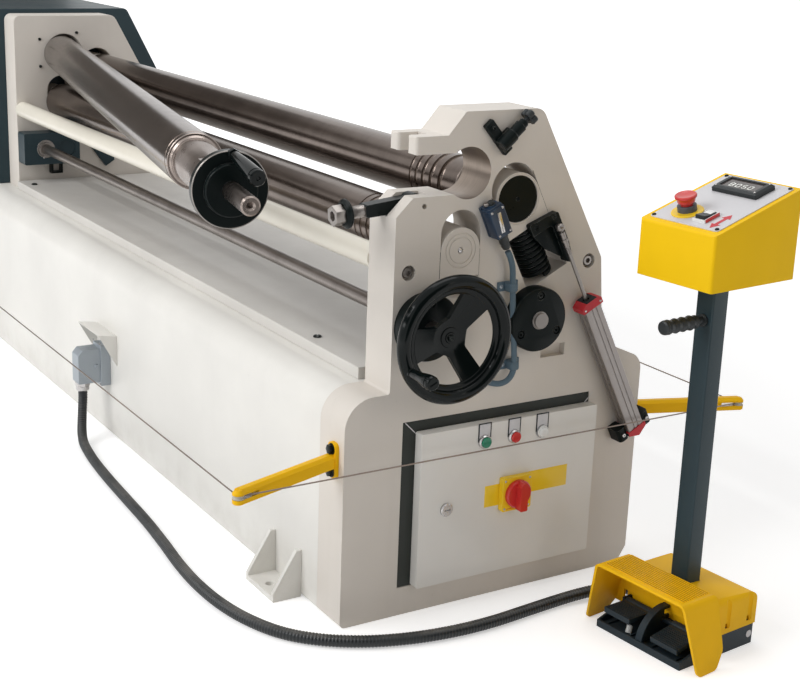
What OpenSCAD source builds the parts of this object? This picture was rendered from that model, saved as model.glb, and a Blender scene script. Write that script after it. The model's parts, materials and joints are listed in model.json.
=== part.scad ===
// Plate rolling machine: three motor-driven rolls, the top one swung out of its jaw at the operator's
// end, with a control cabinet in that end, a trip wire all round and a free-standing pedal and console.
// X runs along the rolls to the operator's end, Y to the rear, Z up.
// The origin is on the floor, at the middle of the base and of its four anchor holes.

/* [Base] */
// Length of the welded base
base_len = 2800; // [2500:10:3200]
// Depth of the base, front to rear
base_depth = 720; // [680:10:800]
// Height of the base under its deck plate
base_h = 472; // [440:2:560]
// Rounding of the long top edges
base_edge_r = 62; // [30:2:80]
// Thickness of the folded deck plate
deck_t = 25; // [10:1:40]
// Set-back of the deck plate from the front and rear of the base
deck_inset = 88; // [75:1:110]

/* [Anchor feet] */
// Width of a foot along the base
foot_w = 126; // [100:2:160]
// How far a foot stands out of the base
foot_d = 64; // [55:1:80]
// Thickness of a foot's sole
foot_t = 12; // [8:1:20]
// Height of its two gussets
gusset_h = 104; // [70:2:140]
// Diameter of an anchor hole
anchor_hole_d = 18; // [12:1:24]
// Distance of a foot's middle from the end of the base
foot_inset = 225; // [150:1:320]
// Distance of an anchor hole from the base
anchor_out = 40; // [32:1:60]

/* [Side frames] */
// Thickness of a side frame
frame_t = 95; // [70:1:110]
// Clear distance between the side frames
roll_gap = 2175; // [1900:5:2500]
// Height of the side frames over the floor
frame_h = 1005; // [980:5:1050]
// Diameter of the bore that takes the top roll's bush
jaw_bore_d = 100; // [90:1:110]
// Height of the jaw's mouth
jaw_mouth_h = 79; // [77:1:84]
// Width of the slots for the swing bolt
bolt_slot_w = 32; // [28:1:36]

/* [Rolls] */
// Diameter of the three rolls
roll_d = 110; // [100:1:118]
// Diameter of the top roll's long neck
neck_d = 72; // [60:1:73]
// Diameter of the journals of the lower rolls
journal_d = 60; // [50:1:70]
// Angle by which the top roll is swung out
swing_out = 12; // [8:0.5:15]
// Diameter of the black bush flange on the top roll
flange_d = 137; // [120:1:140]
// Running clearance of a journal in its bore, on the radius
run_gap = 0.06; // [0.03:0.01:0.1]
// Sliding clearance of a block in its slot, each side
slide_gap = 0.5; // [0.3:0.1:1]

/* [Handwheel] */
// Outer diameter of the handwheel
wheel_d = 248; // [200:2:260]
// Diameter of its rim
wheel_rim_d = 27; // [20:1:32]
// Diameter of the adjusting shaft
shaft_d = 30; // [24:1:36]
// Diameter of the black bearing flanges
bearing_flange_d = 131; // [110:1:140]

/* [Cabinet] */
// Width of the cabinet's recess
cabinet_w = 456; // [400:2:480]
// Height of the cabinet's recess
cabinet_h = 350; // [300:2:370]
// Depth of the cabinet
cabinet_depth = 210; // [150:5:260]
// Width of the door
door_w = 430; // [380:2:440]
// Height of the door
door_h = 326; // [280:2:340]
// Depth of the folded door
door_t = 24; // [18:1:30]

/* [Trip wire] */
// Height of the wire over the floor
wire_z = 345; // [320:1:370]
// Diameter of the wire
wire_d = 3; // [2:0.5:4]
// How far the arms hold the wire from the front and rear
arm_reach = 245; // [200:5:280]

/* [Pedal unit] */
// Width of the foot guard at the floor
guard_w = 300; // [280:2:320]
// Height of the foot guard
guard_h = 138; // [130:2:150]
// Width of the guard's top
guard_top_w = 232; // [220:2:250]
// Width of the black base plate
pedal_base_w = 220; // [216:2:230]
// Height of the black block behind the pedals
pedal_block_h = 42; // [38:1:48]
// Side of the square column
column_w = 42; // [36:1:50]
// Height of the column's top over the floor
column_h = 729; // [680:1:850]
// Width of the console
console_w = 182; // [160:2:220]
// Depth of the console
console_d = 233; // [200:2:260]
// Height of the console's front
console_h1 = 104; // [90:1:120]
// Height of the console's rear
console_h2 = 172; // [150:1:190]

/* [Hidden] */
$fn = 48;

// Places on the machine, measured from its ends and its front
x_end = base_len / 2;
y_front = -base_depth / 2;
y_rear = base_depth / 2;
x_right_in = x_end - frame_t;
x_left_in = x_right_in - roll_gap;
x_left_out = x_left_in - frame_t;
frame_front_y = y_front + 97;

// Axes of the rolls: top, front and rear, at rest
top_y = y_front + 255;
top_z = 889;
front_y = y_front + 243;
front_z = 741;
rear_slot_tilt = 27;
slot_dir = [0, -sin(rear_slot_tilt), cos(rear_slot_tilt)];
rear_slot_y = y_front + 362;
rear_slot_z = 851;
rear_drop = 22;
rear_y = rear_slot_y - rear_drop * slot_dir[1];
rear_z = rear_slot_z - rear_drop * slot_dir[2];
rear_slot_len = 205;
rear_slot_w = 105;
front_slot_w = 90;
front_slot_top = front_z + 34;
front_slot_bottom = 648;
pivot_x = x_left_in - frame_t / 2;
shaft_y = y_front + 166;
shaft_z = 602;
hub_y = y_front + 421;
hub_z = 590;
bolt_y = y_front + 158;
bolt_z = 832;
upper_jaw_z = 962;
wire_x = x_end + 52;

PAINT = "#d9d6cf";
STEEL = "#8d8a88";
BLACK = "#16191b";
YELLOW = "#f2c21a";
DARK = "#37474f";

function unit(v) = v / norm(v);
// The outline through the corners c = [x, y, radius], each one rounded with n steps
function rounded(c, n = 5) = [
    for (i = [0 : len(c) - 1])
        let (
            corner = [c[i][0], c[i][1]],
            before = c[(i + len(c) - 1) % len(c)],
            after = c[(i + 1) % len(c)],
            u = unit([before[0], before[1]] - corner),
            v = unit([after[0], after[1]] - corner),
            half = acos(u * v) / 2,
            r = c[i][2],
            middle = corner + unit(u + v) * r / sin(half),
            first = corner + u * r / tan(half) - middle,
            start = atan2(first[1], first[0]),
            side = u[0] * v[1] - u[1] * v[0] > 0 ? -1 : 1
        )
        for (k = r > 0 ? [0 : n] : [0])
            let (a = start + side * (180 - 2 * half) * k / n)
            r > 0 ? middle + r * [cos(a), sin(a)] : corner
];

// A rectangle with rounded corners between its opposite corners a and b
function rounded_rect(a, b, r) = rounded([[a[0], a[1], r], [b[0], a[1], r], [b[0], b[1], r],
                                          [a[0], b[1], r]]);

// Places a profile drawn in Y and Z so that it runs along X from x0
module along_x(x0, length) {
    translate([x0, 0, 0])
        rotate([90, 0, 90])
            linear_extrude(length)
                children();
}

// A round bar or bore along X
module bar_x(x0, x1, y, z, d) {
    translate([x0, y, z])
        rotate([0, 90, 0])
            cylinder(h = x1 - x0, d = d);
}

// A body of revolution along z; each point is [height, radius] and the ends are flat
module lathe(points) {
    last = points[len(points) - 1];
    rotate_extrude()
        polygon(concat([[0, points[0][0]]], [for (p = points) [p[1], p[0]]], [[0, last[0]]]));
}

// The same along X from x0
module lathe_x(x0, y, z, points) {
    translate([x0, y, z])
        rotate([0, 90, 0])
            lathe(points);
}

// What an upright square corner at [0, 0] loses when it is rounded
module corner_cut(r, h) {
    difference() {
        translate([-1, -1, 0])
            cube([r + 1, r + 1, h]);
        translate([r, r, -1])
            cylinder(h = h + 2, r = r);
    }
}

// Repeats its children, drawn at the front right corner, at all four corners of the base
module four_corners() {
    for (left = [0, 1])
        for (rear = [0, 1])
            mirror([left, 0, 0])
                mirror([0, rear, 0])
                    children();
}

// Puts its children in the frame of the slanted slot: local z runs up the slot
module in_rear_slot(x0) {
    translate([x0, rear_slot_y, rear_slot_z])
        rotate([rear_slot_tilt, 0, 0])
            children();
}

// Outline of the base's end
base_outline = rounded([
    [y_front, 0, 12],
    [y_rear, 0, 24],
    [y_rear, base_h, base_edge_r],
    [y_front, base_h, base_edge_r]
], 12);

// -------------------------------- base

module base_shell() {
    color(PAINT)
        difference() {
            along_x(-x_end, base_len - frame_t)
                polygon(base_outline);
            cabinet_space(x_end - cabinet_depth - 1, x_right_in + 1);
        }
}

// The room of the control cabinet in the end of the machine
cabinet_y = y_front + 129;
cabinet_z = 60;
module cabinet_space(x0, x1) {
    translate([x0, cabinet_y, cabinet_z])
        cube([x1 - x0, cabinet_w, cabinet_h]);
}

module anchor_foot() {
    difference() {
        translate([-foot_w / 2, -foot_d, 0])
            cube([foot_w, foot_d, foot_t]);
        translate([0, -anchor_out, -1])
            cylinder(h = foot_t + 2, d = anchor_hole_d);
    }
    for (x = [-foot_w / 2, foot_w / 2 - 10])
        translate([x, 0, 0])
            rotate([90, 0, 90])
                linear_extrude(10)
                    polygon([[0, 0], [-foot_d, 0], [-foot_d, foot_t + 6], [-12, gusset_h],
                             [0, gusset_h]]);
}

module anchor_feet() {
    color(PAINT)
        four_corners()
            translate([x_end - foot_inset, y_front, 0])
                anchor_foot();
}

module deck_plate() {
    gap = 12;
    color(PAINT)
        translate([x_left_in + gap, y_front + deck_inset, base_h])
            cube([roll_gap - 2 * gap, base_depth - 2 * deck_inset, deck_t]);
}

// -------------------------------- side frames

// Upper part of a side frame, closed at the front
frame_rear = [
    [y_front + 420, frame_h, 26],
    [y_front + 590, 697, 14],
    [y_front + 604, 560, 20],
    [y_front + 632, 505, 16]
];

right_outline = rounded(concat([
    [y_front, 0, 12],
    [y_rear - 22, 0, 4],
    [y_rear, 34, 8],
    [y_rear, base_h, 40],
    [y_front + 690, base_h + 8, 12]
], [for (i = [3 : -1 : 0]) frame_rear[i]], [
    [y_front + 243, frame_h, 4],
    [y_front + 205, upper_jaw_z, 4],
    [y_front + 134, upper_jaw_z, 4],
    [y_front + 134, top_z + jaw_mouth_h / 2, 3],
    [top_y, top_z + jaw_mouth_h / 2, 0],
    [top_y, top_z - jaw_mouth_h / 2, 0],
    [y_front + 133, top_z - jaw_mouth_h / 2, 3],
    [frame_front_y, 815, 3],
    [frame_front_y, base_h, 6],
    [y_front, base_h, base_edge_r]
]), 9);

module front_slot(x0, x1) {
    bar_x(x0, x1, front_y, front_slot_top, front_slot_w);
    translate([x0, front_y - front_slot_w / 2, front_slot_bottom])
        cube([x1 - x0, front_slot_w, front_slot_top - front_slot_bottom]);
}

module rear_slot(x0, x1) {
    in_rear_slot(x0) {
        rotate([0, 90, 0])
            cylinder(h = x1 - x0, d = rear_slot_w);
        translate([0, -rear_slot_w / 2, -rear_slot_len])
            cube([x1 - x0, rear_slot_w, rear_slot_len]);
    }
}

module right_frame() {
    color(PAINT)
        difference() {
            along_x(x_right_in, frame_t)
                polygon(right_outline);
            bar_x(x_right_in - 1, x_end + 1, top_y, top_z, jaw_bore_d);
            front_slot(x_right_in - 1, x_end + 1);
            rear_slot(x_right_in - 1, x_end + 1);
            cabinet_space(x_right_in - 1, x_end + 1);
            bolt_slots();
            bar_x(x_right_in - 1, x_end - 17, bolt_y, bolt_z, bolt_pin_d + 2 * run_gap);
            bar_x(x_right_in - 1, x_end + 1, shaft_y, shaft_z, shaft_d + 2 * run_gap);
            bar_x(x_end - 18, x_end + 1, bolt_y, bolt_z, 10);
            jaw_corners();
            for (p = frame_screws)
                bar_x(x_end - 14, x_end + 1, y_front + p[0], p[1], 30);
            translate([x_end - 16, y_front + 451, 500])
                cube([17, 60, 26]);
        }
}
// Counterbored frame screws: distance from the front, height
frame_screws = [[129, 707], [558, 692]];

// Rounding of the upright front edges of the upper jaw's two prongs
jaw_corner_r = 9;
module jaw_corners() {
    mid = x_right_in + frame_t / 2;
    bottom = top_z + jaw_mouth_h / 2 - 1;
    for (side = [0, 1])
        translate([mid, y_front + 134, bottom])
            mirror([side, 0, 0])
                for (edge = [[bolt_slot_w / 2, 0], [frame_t / 2, 1]])
                    translate([edge[0], 0, 0])
                        mirror([edge[1], 0, 0])
                            corner_cut(jaw_corner_r, upper_jaw_z - bottom + 1);
}

// The fork slots of the swing bolt, through the upper jaw and into the lower one
module bolt_slots() {
    mid = x_right_in + frame_t / 2;
    slot_end = bolt_y + 20;
    translate([mid - bolt_slot_w / 2, frame_front_y - 1, top_z])
        cube([bolt_slot_w, slot_end - frame_front_y + 1, 100]);
    translate([mid - bolt_slot_w / 2, frame_front_y - 1, bolt_z - 20])
        cube([bolt_slot_w, slot_end + 4 - frame_front_y + 1, 50]);
}

left_outline = rounded(concat([
    [frame_front_y, base_h, 0],
    [y_front + 632, base_h, 0]
], [for (i = [3 : -1 : 0]) frame_rear[i]], [
    [frame_front_y, frame_h, 20]
]), 5);

module left_frame() {
    color(PAINT)
        difference() {
            along_x(x_left_out, frame_t)
                polygon(left_outline);
            // seat of the top roll's swivel bearing, and the flare that lets the roll swing
            translate([pivot_x, top_y, top_z])
                sphere(d = swivel_d + 2 * slide_gap);
            bar_x(x_left_out - 1, x_left_in + 1, top_y, top_z, jaw_bore_d);
            bar_x(pivot_x, x_left_in + 1, top_y, top_z, swivel_d + 2 * slide_gap);
            front_slot(x_left_out - 1, x_left_in + 1);
            rear_slot(x_left_out - 1, x_left_in + 1);
        }
}

module gear_cover() {
    top = frame_h + 14;
    cover = rounded([
        [y_front + 60, base_h, 0],
        [y_rear - 40, base_h, 0],
        [y_rear - 40, 679, 20],
        [y_front + 500, top, 20],
        [y_front + 60, top, 20]
    ], 5);
    color(DARK)
        along_x(-x_end, x_left_out + x_end)
            polygon(cover);
}

// -------------------------------- between the frames

tie_y = y_front + 118;
tie_z = 718;
tie_d = 48;
module tie_tube() {
    color("#e9e4d3")
        bar_x(x_left_in, x_right_in, tie_y, tie_z, tie_d);
}

module left_gear_block() {
    block_w = 178;
    block_h = 98;
    block_t = 62;
    collar_t = 9;
    face = x_left_in + block_t;
    color(DARK)
        difference() {
            union() {
                along_x(x_left_in, block_t)
                    polygon(rounded_rect([y_front + 98, shaft_z - block_h / 2],
                                         [y_front + 98 + block_w, shaft_z + block_h / 2], 6));
                lathe_x(face, shaft_y, shaft_z,
                        [[0, 28], [3, 28], [3, 22], [collar_t + 2, 22], [collar_t + 3, 21]]);
            }
            bar_x(x_left_in + 20, face + collar_t + 4, shaft_y, shaft_z, shaft_d + 2 * run_gap);
            // recess of the drive's inspection plug
            bar_x(face - 6, face + 1, y_front + 236, shaft_z, 55);
        }
}

// Black flanges that carry the adjusting shaft and the rear hub
module flange_plate(y, z, d) {
    edge = 5;
    difference() {
        lathe_x(x_end, y, z, [[0, d / 2], [flange_t - edge, d / 2], [flange_t - 1.5, d / 2 - 1.5],
                              [flange_t, d / 2 - edge]]);
        for (a = [90, 210, 330])
            bar_x(x_end + flange_t - 10, x_end + flange_t + 1,
                  y + 50 * cos(a), z + 50 * sin(a), 17);
    }
}
// Thickness of a bearing flange
flange_t = 30;

module shaft_flange() {
    color(BLACK)
        difference() {
            flange_plate(shaft_y, shaft_z, bearing_flange_d);
            bar_x(x_end - 1, x_end + flange_t + 1, shaft_y, shaft_z, shaft_d + 2 * run_gap);
        }
}

module adjusting_hub() {
    color(BLACK)
        flange_plate(hub_y, hub_z, bearing_flange_d);
    color(STEEL)
        lathe_x(x_end + flange_t, hub_y, hub_z, [[0, 18], [2, 18], [2, 16], [7, 16], [8, 15]]);
}

// -------------------------------- top roll

swivel_d = 118;
shoulder_r = x_end - 240 - pivot_x;
bush_back_r = x_end - 60 - pivot_x;
flange_back_r = x_end + 30 - pivot_x;
flange_front_r = x_end + 50 - pivot_x;
boss_front_r = x_end + 62 - pivot_x;
stub_end_r = x_end + 195 - pivot_x;
stub_d = 34;
bush_journal_d = 50;
// Depth of the lip that closes the bush round the stub
lip_t = 6;

// Puts its children at the top roll's pivot, with local x along the swung-out roll
module on_top_roll() {
    translate([pivot_x, top_y, top_z])
        rotate([0, 0, -swing_out])
            children();
}

module turned(r0, r1, d) {
    translate([r0, 0, 0])
        rotate([0, 90, 0])
            cylinder(h = r1 - r0, d = d);
}

module swivel_bearing() {
    color(STEEL)
        on_top_roll()
            difference() {
                intersection() {
                    sphere(d = swivel_d);
                    turned(-38, 38, swivel_d);
                }
                turned(-40, 40, journal_d + 2 * run_gap);
            }
}

module top_roll() {
    start = frame_t / 2 + 20;
    r = roll_d / 2;
    neck_r = neck_d / 2;
    journal_r = bush_journal_d / 2;
    stub_r = stub_d / 2;
    color(STEEL)
        on_top_roll()
            rotate([0, 90, 0])
                difference() {
                    lathe([
                        [-38, journal_d / 2], [start, journal_d / 2], [start, r - 4],
                        [start + 4, r], [shoulder_r - 16, r], [shoulder_r - 12, r - 4],
                        [shoulder_r - 8, r - 4], [shoulder_r - 6, r - 2.5], [shoulder_r - 2, r - 2.5],
                        [shoulder_r, r - 7], [shoulder_r, neck_r + 7], [shoulder_r + 7, neck_r],
                        [shoulder_r + 46, neck_r], [shoulder_r + 47, neck_r - 1],
                        [bush_back_r - 3, neck_r - 1], [bush_back_r, neck_r - 4],
                        [bush_back_r, journal_r], [boss_front_r - lip_t - 0.5, journal_r],
                        [boss_front_r - lip_t - 0.5, stub_r], [stub_end_r - 3, stub_r],
                        [stub_end_r, stub_r - 3]
                    ]);
                    // centre hole with its countersink
                    translate([0, 0, stub_end_r - 14])
                        cylinder(h = 15, d = 8);
                    translate([0, 0, stub_end_r - 4])
                        cylinder(h = 4.1, d1 = 8, d2 = 16.2);
                }
}

module bush_flange() {
    bush_d = jaw_bore_d - 0.6;
    flats = jaw_mouth_h - 5;
    r = flange_d / 2;
    t = flange_front_r - flange_back_r;
    boss = boss_front_r - flange_back_r;
    color(BLACK)
        on_top_roll()
            difference() {
                union() {
                    intersection() {
                        turned(bush_back_r, flange_back_r, bush_d);
                        translate([bush_back_r, -bush_d, -flats / 2])
                            cube([flange_back_r - bush_back_r, 2 * bush_d, flats]);
                    }
                    translate([flange_back_r, 0, 0])
                        rotate([0, 90, 0])
                            lathe([[0, r - 2], [2, r], [t - 2, r], [t, r - 2], [t, r * 0.68],
                                   [boss - 2, r * 0.68], [boss, r * 0.68 - 2]]);
                }
                turned(bush_back_r - 1, boss_front_r - lip_t, bush_journal_d + 2 * run_gap);
                turned(flange_back_r, boss_front_r + 1, stub_d + 2 * run_gap);
            }
}

module pull_handle() {
    color(BLACK)
        on_top_roll()
            translate([flange_front_r, 0, flange_d / 2 - 12])
                rotate([0, 90, 0])
                    lathe([[0, 9.5], [10, 9.5], [12, 8.5], [12, 7], [20, 7], [20, 9], [24, 9.5],
                           [92, 14], [97, 14], [97, 13], [99, 13], [99, 14], [104, 13.5], [106, 12]]);
}

// The swing bolt lies forward in its slot, a little below level
bolt_droop = 5;
bolt_pin_d = 16;
bolt_shank_d = 22;
bolt_eye_d = 38;
bolt_seat = 138;
module swing_bolt() {
    pin_x0 = x_right_in + 2;
    pin_x1 = x_end - 18;
    eye_w = bolt_slot_w - 6;
    bar_end = bolt_seat - 32;
    nut_h = 22;
    bar = [[0, -14], [bar_end - 4, -12], [bar_end, -9], [bar_end, 9], [bar_end - 4, 12], [0, 14]];
    color(BLACK) {
        translate([x_right_in + frame_t / 2, bolt_y, bolt_z])
            rotate([90 + bolt_droop, 0, 0]) {
                rotate([0, 90, 0])
                    translate([0, 0, -eye_w / 2])
                        cylinder(h = eye_w, d = bolt_eye_d);
                // flat bar, then the threaded shank, the round collar nut and the hexagon nut
                translate([-eye_w / 2, 0, 0])
                    rotate([90, 0, 90])
                        linear_extrude(eye_w)
                            polygon([for (p = bar) [p[1], p[0]]]);
                cylinder(h = bolt_seat + 2, d = bolt_shank_d);
                translate([0, 0, bolt_seat])
                    lathe([[0, 26], [2, 28], [5, 28], [8, 24], [12, 21]]);
                difference() {
                    translate([0, 0, bolt_seat + 12])
                        intersection() {
                            cylinder(h = nut_h, d = 46, $fn = 6);
                            lathe([[0, 23], [nut_h - 3, 23], [nut_h, 20]]);
                        }
                    translate([0, 0, bolt_seat + 24])
                        cylinder(h = nut_h, d = 19, $fn = 6);
                }
            }
        bar_x(pin_x0, pin_x1, bolt_y, bolt_z, bolt_pin_d);
    }
}

// -------------------------------- front roll

// The blocks stand a little proud of the end plate and stay clear of the gear cover
block_proud = 1;
right_block_x = [x_right_in, x_end + block_proud];
left_block_x = [x_left_out + 1, x_left_in];

front_block_r = front_slot_w / 2 - slide_gap;
front_block_bottom = front_z - 52;
block_cap_t = 9;
// A block for the front roll; cap is the thickness of metal that closes its bore
module front_block(span, cap) {
    difference() {
        union() {
            bar_x(span[0], span[1], front_y, front_z, 2 * front_block_r);
            translate([span[0], front_y - front_block_r, front_block_bottom])
                cube([span[1] - span[0], 2 * front_block_r, front_z - front_block_bottom]);
        }
        bar_x(span[0] - 1, cap > 0 ? span[1] - cap : span[1] + 1, front_y, front_z,
              journal_d + 2 * run_gap);
    }
}

module front_bearing_blocks() {
    face = x_end + block_proud;
    color(PAINT) {
        difference() {
            front_block(right_block_x, block_cap_t);
            // ring grooves and the centre screw's recess in the closed outer face
            for (d = [70, 54])
                difference() {
                    bar_x(face - 1.5, face + 1, front_y, front_z, d);
                    bar_x(face - 2, face + 2, front_y, front_z, d - 5);
                }
            bar_x(face - 3, face + 1, front_y, front_z, 12);
        }
        front_block(left_block_x, 0);
    }
}

// A lower roll: body between the frames, grooves near the operator's end, journals in its blocks
// Half-round grooves for bending bar and wire: place from the first one, width
grooves = [[0, 8], [22, 10], [47, 12], [76, 14], [109, 17]];

// A lower roll: body between the frames, grooves near the operator's end, journals in its blocks
module lower_roll(y, z, journal_end) {
    gap = 10;
    first = x_end - 398;
    length = roll_gap - 2 * gap;
    r = roll_d / 2;
    color(STEEL)
        translate([0, y, z])
            difference() {
                union() {
                    lathe_x(x_left_in + gap, 0, 0,
                            [[0, r - 4], [4, r], [length - 4, r], [length, r - 4]]);
                    bar_x(x_left_out + 4, journal_end, 0, 0, journal_d);
                }
                for (g = grooves)
                    translate([first + g[0] + g[1] / 2, 0, 0])
                        rotate([0, 90, 0])
                            rotate_extrude()
                                translate([r, 0])
                                    circle(d = g[1]);
            }
}

module front_roll() {
    lower_roll(front_y, front_z, x_end + block_proud - block_cap_t - 2);
}

// -------------------------------- rear roll

rear_block_w = rear_slot_w - 2 * slide_gap;
rear_block_below = 66;
end_disc_d = 92;
end_disc_recess = 9;
// A block for the rear roll; recess is the depth of its round outer counterbore
module rear_block(span, recess) {
    length = span[1] - span[0];
    difference() {
        in_rear_slot(span[0])
            translate([0, 0, -rear_drop]) {
                rotate([0, 90, 0])
                    cylinder(h = length, d = rear_block_w);
                translate([0, -rear_block_w / 2, -rear_block_below])
                    cube([length, rear_block_w, rear_block_below]);
            }
        bar_x(span[0] - 1, span[1] + 1, rear_y, rear_z, journal_d + 2 * run_gap);
        bar_x(span[1] - recess, span[1] + 1, rear_y, rear_z, end_disc_d + 1);
    }
}

module rear_bearing_blocks() {
    face = x_end + block_proud;
    color(PAINT) {
        difference() {
            rear_block(right_block_x, end_disc_recess);
            // fine double contour round the counterbore
            difference() {
                bar_x(face - 1, face + 1, rear_y, rear_z, end_disc_d + 8);
                bar_x(face - 2, face + 2, rear_y, rear_z, end_disc_d + 6);
            }
        }
        rear_block(left_block_x, 0);
    }
}

module rear_roll() {
    t = end_disc_recess - 1;
    back = x_end + block_proud - end_disc_recess + 0.5;
    lower_roll(rear_y, rear_z, back + 1);
    color(BLACK)
        difference() {
            lathe_x(back, rear_y, rear_z, [[0, end_disc_d / 2], [t - 2, end_disc_d / 2],
                                           [t - 1, end_disc_d / 2 - 1]]);
            bar_x(back + t - 3, back + t, rear_y, rear_z, 5);
        }
}

// Black bracket on the rear block: holds the transducer's ball joint
bracket_t = 14;
module spring_bracket() {
    arm = rear_drop + rear_block_below;
    inner = 43;
    outer = 66;
    color(BLACK)
        in_rear_slot(x_end + block_proud)
            difference() {
                rotate([90, 0, 90])
                    linear_extrude(bracket_t)
                        polygon(rounded([
                            [-5, -arm + 10, 4], [outer, -arm + 2, 6], [outer, -arm - 70, 20],
                            [outer - 6, -arm - 116, 6], [inner, -arm - 102, 4],
                            [inner, -arm - 16, 8], [-5, -arm - 16, 4]
                        ]));
                // screw pockets
                for (y = [8, outer - 12])
                    translate([bracket_t - 5, y, -arm - 3])
                        rotate([0, 90, 0])
                            cylinder(h = 6, d = 11);
            }
}

spring_d = 46;
spring_wire = 8;
spring_turns = 8;
spring_top = -rear_drop - rear_block_below;
module block_spring() {
    sides = 8;
    steps = 12;
    length = rear_slot_len + spring_top - 0.6;
    r = (spring_d - spring_wire) / 2;
    n = spring_turns * steps;
    function ring(i) = [
        for (k = [0 : sides - 1])
            let (
                a = 360 * i / steps,
                b = 360 * k / sides,
                out = r + spring_wire / 2 * cos(b)
            )
            [out * cos(a), out * sin(a),
             spring_wire / 2 + (length - spring_wire) * i / n + spring_wire / 2 * sin(b)]
    ];
    points = [for (i = [0 : n]) each ring(i)];
    faces = concat(
        [[for (k = [0 : sides - 1]) k]],
        [for (i = [0 : n - 1])
            for (k = [0 : sides - 1])
                [i * sides + k, (i + 1) * sides + k, (i + 1) * sides + (k + 1) % sides,
                 i * sides + (k + 1) % sides]],
        [[for (k = [sides - 1 : -1 : 0]) n * sides + k]]
    );
    color(BLACK)
        in_rear_slot(x_end - 30)
            translate([0, -22, -rear_slot_len + 0.3])
                polyhedron(points, faces);
}

// -------------------------------- handwheel

module adjusting_shaft() {
    color(STEEL)
        bar_x(x_left_in + 22, wheel_x - wheel_hub_back + shaft_in_hub, shaft_y, shaft_z, shaft_d);
}

// Middle plane of the handwheel's rim, and how far its dished hub lies behind it
wheel_x = x_end + 110;
wheel_hub_back = 40;
shaft_in_hub = 16;
wheel_ring_r = (wheel_d - wheel_rim_d) / 2;
grip_angle = 295;
grip_pin_d = 8;
grip_boss_h = wheel_rim_d / 2 + 2;

// A window between two spokes: a chord near the hub and an arc along the rim
wheel_window = rounded(concat(
    [[38 * cos(25), -38 * sin(25), 9], [100 * cos(42), -100 * sin(42), 12]],
    [for (a = [-30 : 10 : 30]) [101 * cos(a), 101 * sin(a), 0]],
    [[100 * cos(42), 100 * sin(42), 12], [38 * cos(25), 38 * sin(25), 9]]
), 4);

module handwheel() {
    color(BLACK)
        translate([wheel_x, shaft_y, shaft_z])
            rotate([0, 90, 0])
                difference() {
                    union() {
                        rotate_extrude()
                            translate([wheel_ring_r, 0])
                                circle(d = wheel_rim_d);
                        dished_web();
                        wheel_hub();
                        rotate([0, 0, grip_angle])
                            translate([wheel_ring_r, 0, 0]) {
                                lathe([[0, 9], [grip_boss_h - 1, 9], [grip_boss_h, 8]]);
                                cylinder(h = grip_boss_h + 60, d = grip_pin_d);
                            }
                    }
                    translate([0, 0, -wheel_hub_back - 1])
                        cylinder(h = shaft_in_hub + 1, d = shaft_d);
                }
}

// Conical web from the hub out to the rim, with its three windows
module dished_web() {
    difference() {
        rotate_extrude()
            polygon([[20, -32], [36, -28], [wheel_ring_r - 10, -8], [wheel_ring_r, -7],
                     [wheel_ring_r, 4], [wheel_ring_r - 12, 2], [38, -15], [20, -19]]);
        for (a = [85, 210, 335])
            rotate([0, 0, a])
                translate([0, 0, -wheel_hub_back])
                    linear_extrude(wheel_hub_back + 20)
                        polygon(wheel_window);
    }
}

module wheel_hub() {
    lathe([[-wheel_hub_back, 26], [-wheel_hub_back + 2, 28], [-20, 28], [-18, 26], [-18, 20],
           [-16, 19], [-16, 11], [-14, 10], [-14, 7], [-12, 6]]);
}

module wheel_grip() {
    color(BLACK)
        translate([wheel_x, shaft_y, shaft_z])
            rotate([0, 90, 0])
                rotate([0, 0, grip_angle])
                    translate([wheel_ring_r, 0, grip_boss_h + 0.3])
                        difference() {
                            lathe([[0, 7], [3, 8.5], [24, 9.5], [50, 13.5], [58, 14], [58, 13],
                                   [60, 13], [60, 14], [66, 14], [70, 12.5], [71, 11]]);
                            translate([0, 0, -1])
                                cylinder(h = 62, d = grip_pin_d + 2 * run_gap);
                            // driver slot of the end cap
                            translate([-8, -1.5, 69])
                                cube([16, 3, 3]);
                        }
}

// -------------------------------- fittings on the end plate

// Puts its children at the locking plunger, local z along its pin, away from the top roll
plunger_angle = 41;
plunger_x = 18;
plunger_pin_d = 10;
module at_plunger() {
    translate([x_end, top_y, top_z])
        rotate([plunger_angle - 90, 0, 0])
            translate([0, 0, flange_d / 2 + 7])
                children();
}

module plunger_bracket() {
    color(BLACK)
        at_plunger()
            difference() {
                union() {
                    rotate([0, 90, 0])
                        linear_extrude(12)
                            polygon(rounded([[0, -50, 2], [0, 26, 2], [-22, 26, 3],
                                             [-22, -50, 8]]));
                    // body with a chamfered shoulder, then the stepped sleeve
                    rotate([0, -90, 90])
                        translate([0, 0, -17])
                            linear_extrude(34)
                                polygon(rounded([[0, 0, 0], [54, 0, 0], [54, -24, 4], [46, -31, 4],
                                                 [8, -31, 4], [0, -28, 0]]));
                    translate([plunger_x, 0, 0])
                        lathe([[0, 11], [60, 11], [60, 9], [68, 9], [70, 8]]);
                    for (y = [-20, 20])
                        translate([0, y - 3, 14])
                            cube([20, 6, 30]);
                }
                translate([plunger_x, 0, -1])
                    cylinder(h = 80, d = plunger_pin_d + 2 * run_gap);
                translate([-1, -37, 11])
                    rotate([0, 90, 0])
                        cylinder(h = 20, d = 9);
            }
}

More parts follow.
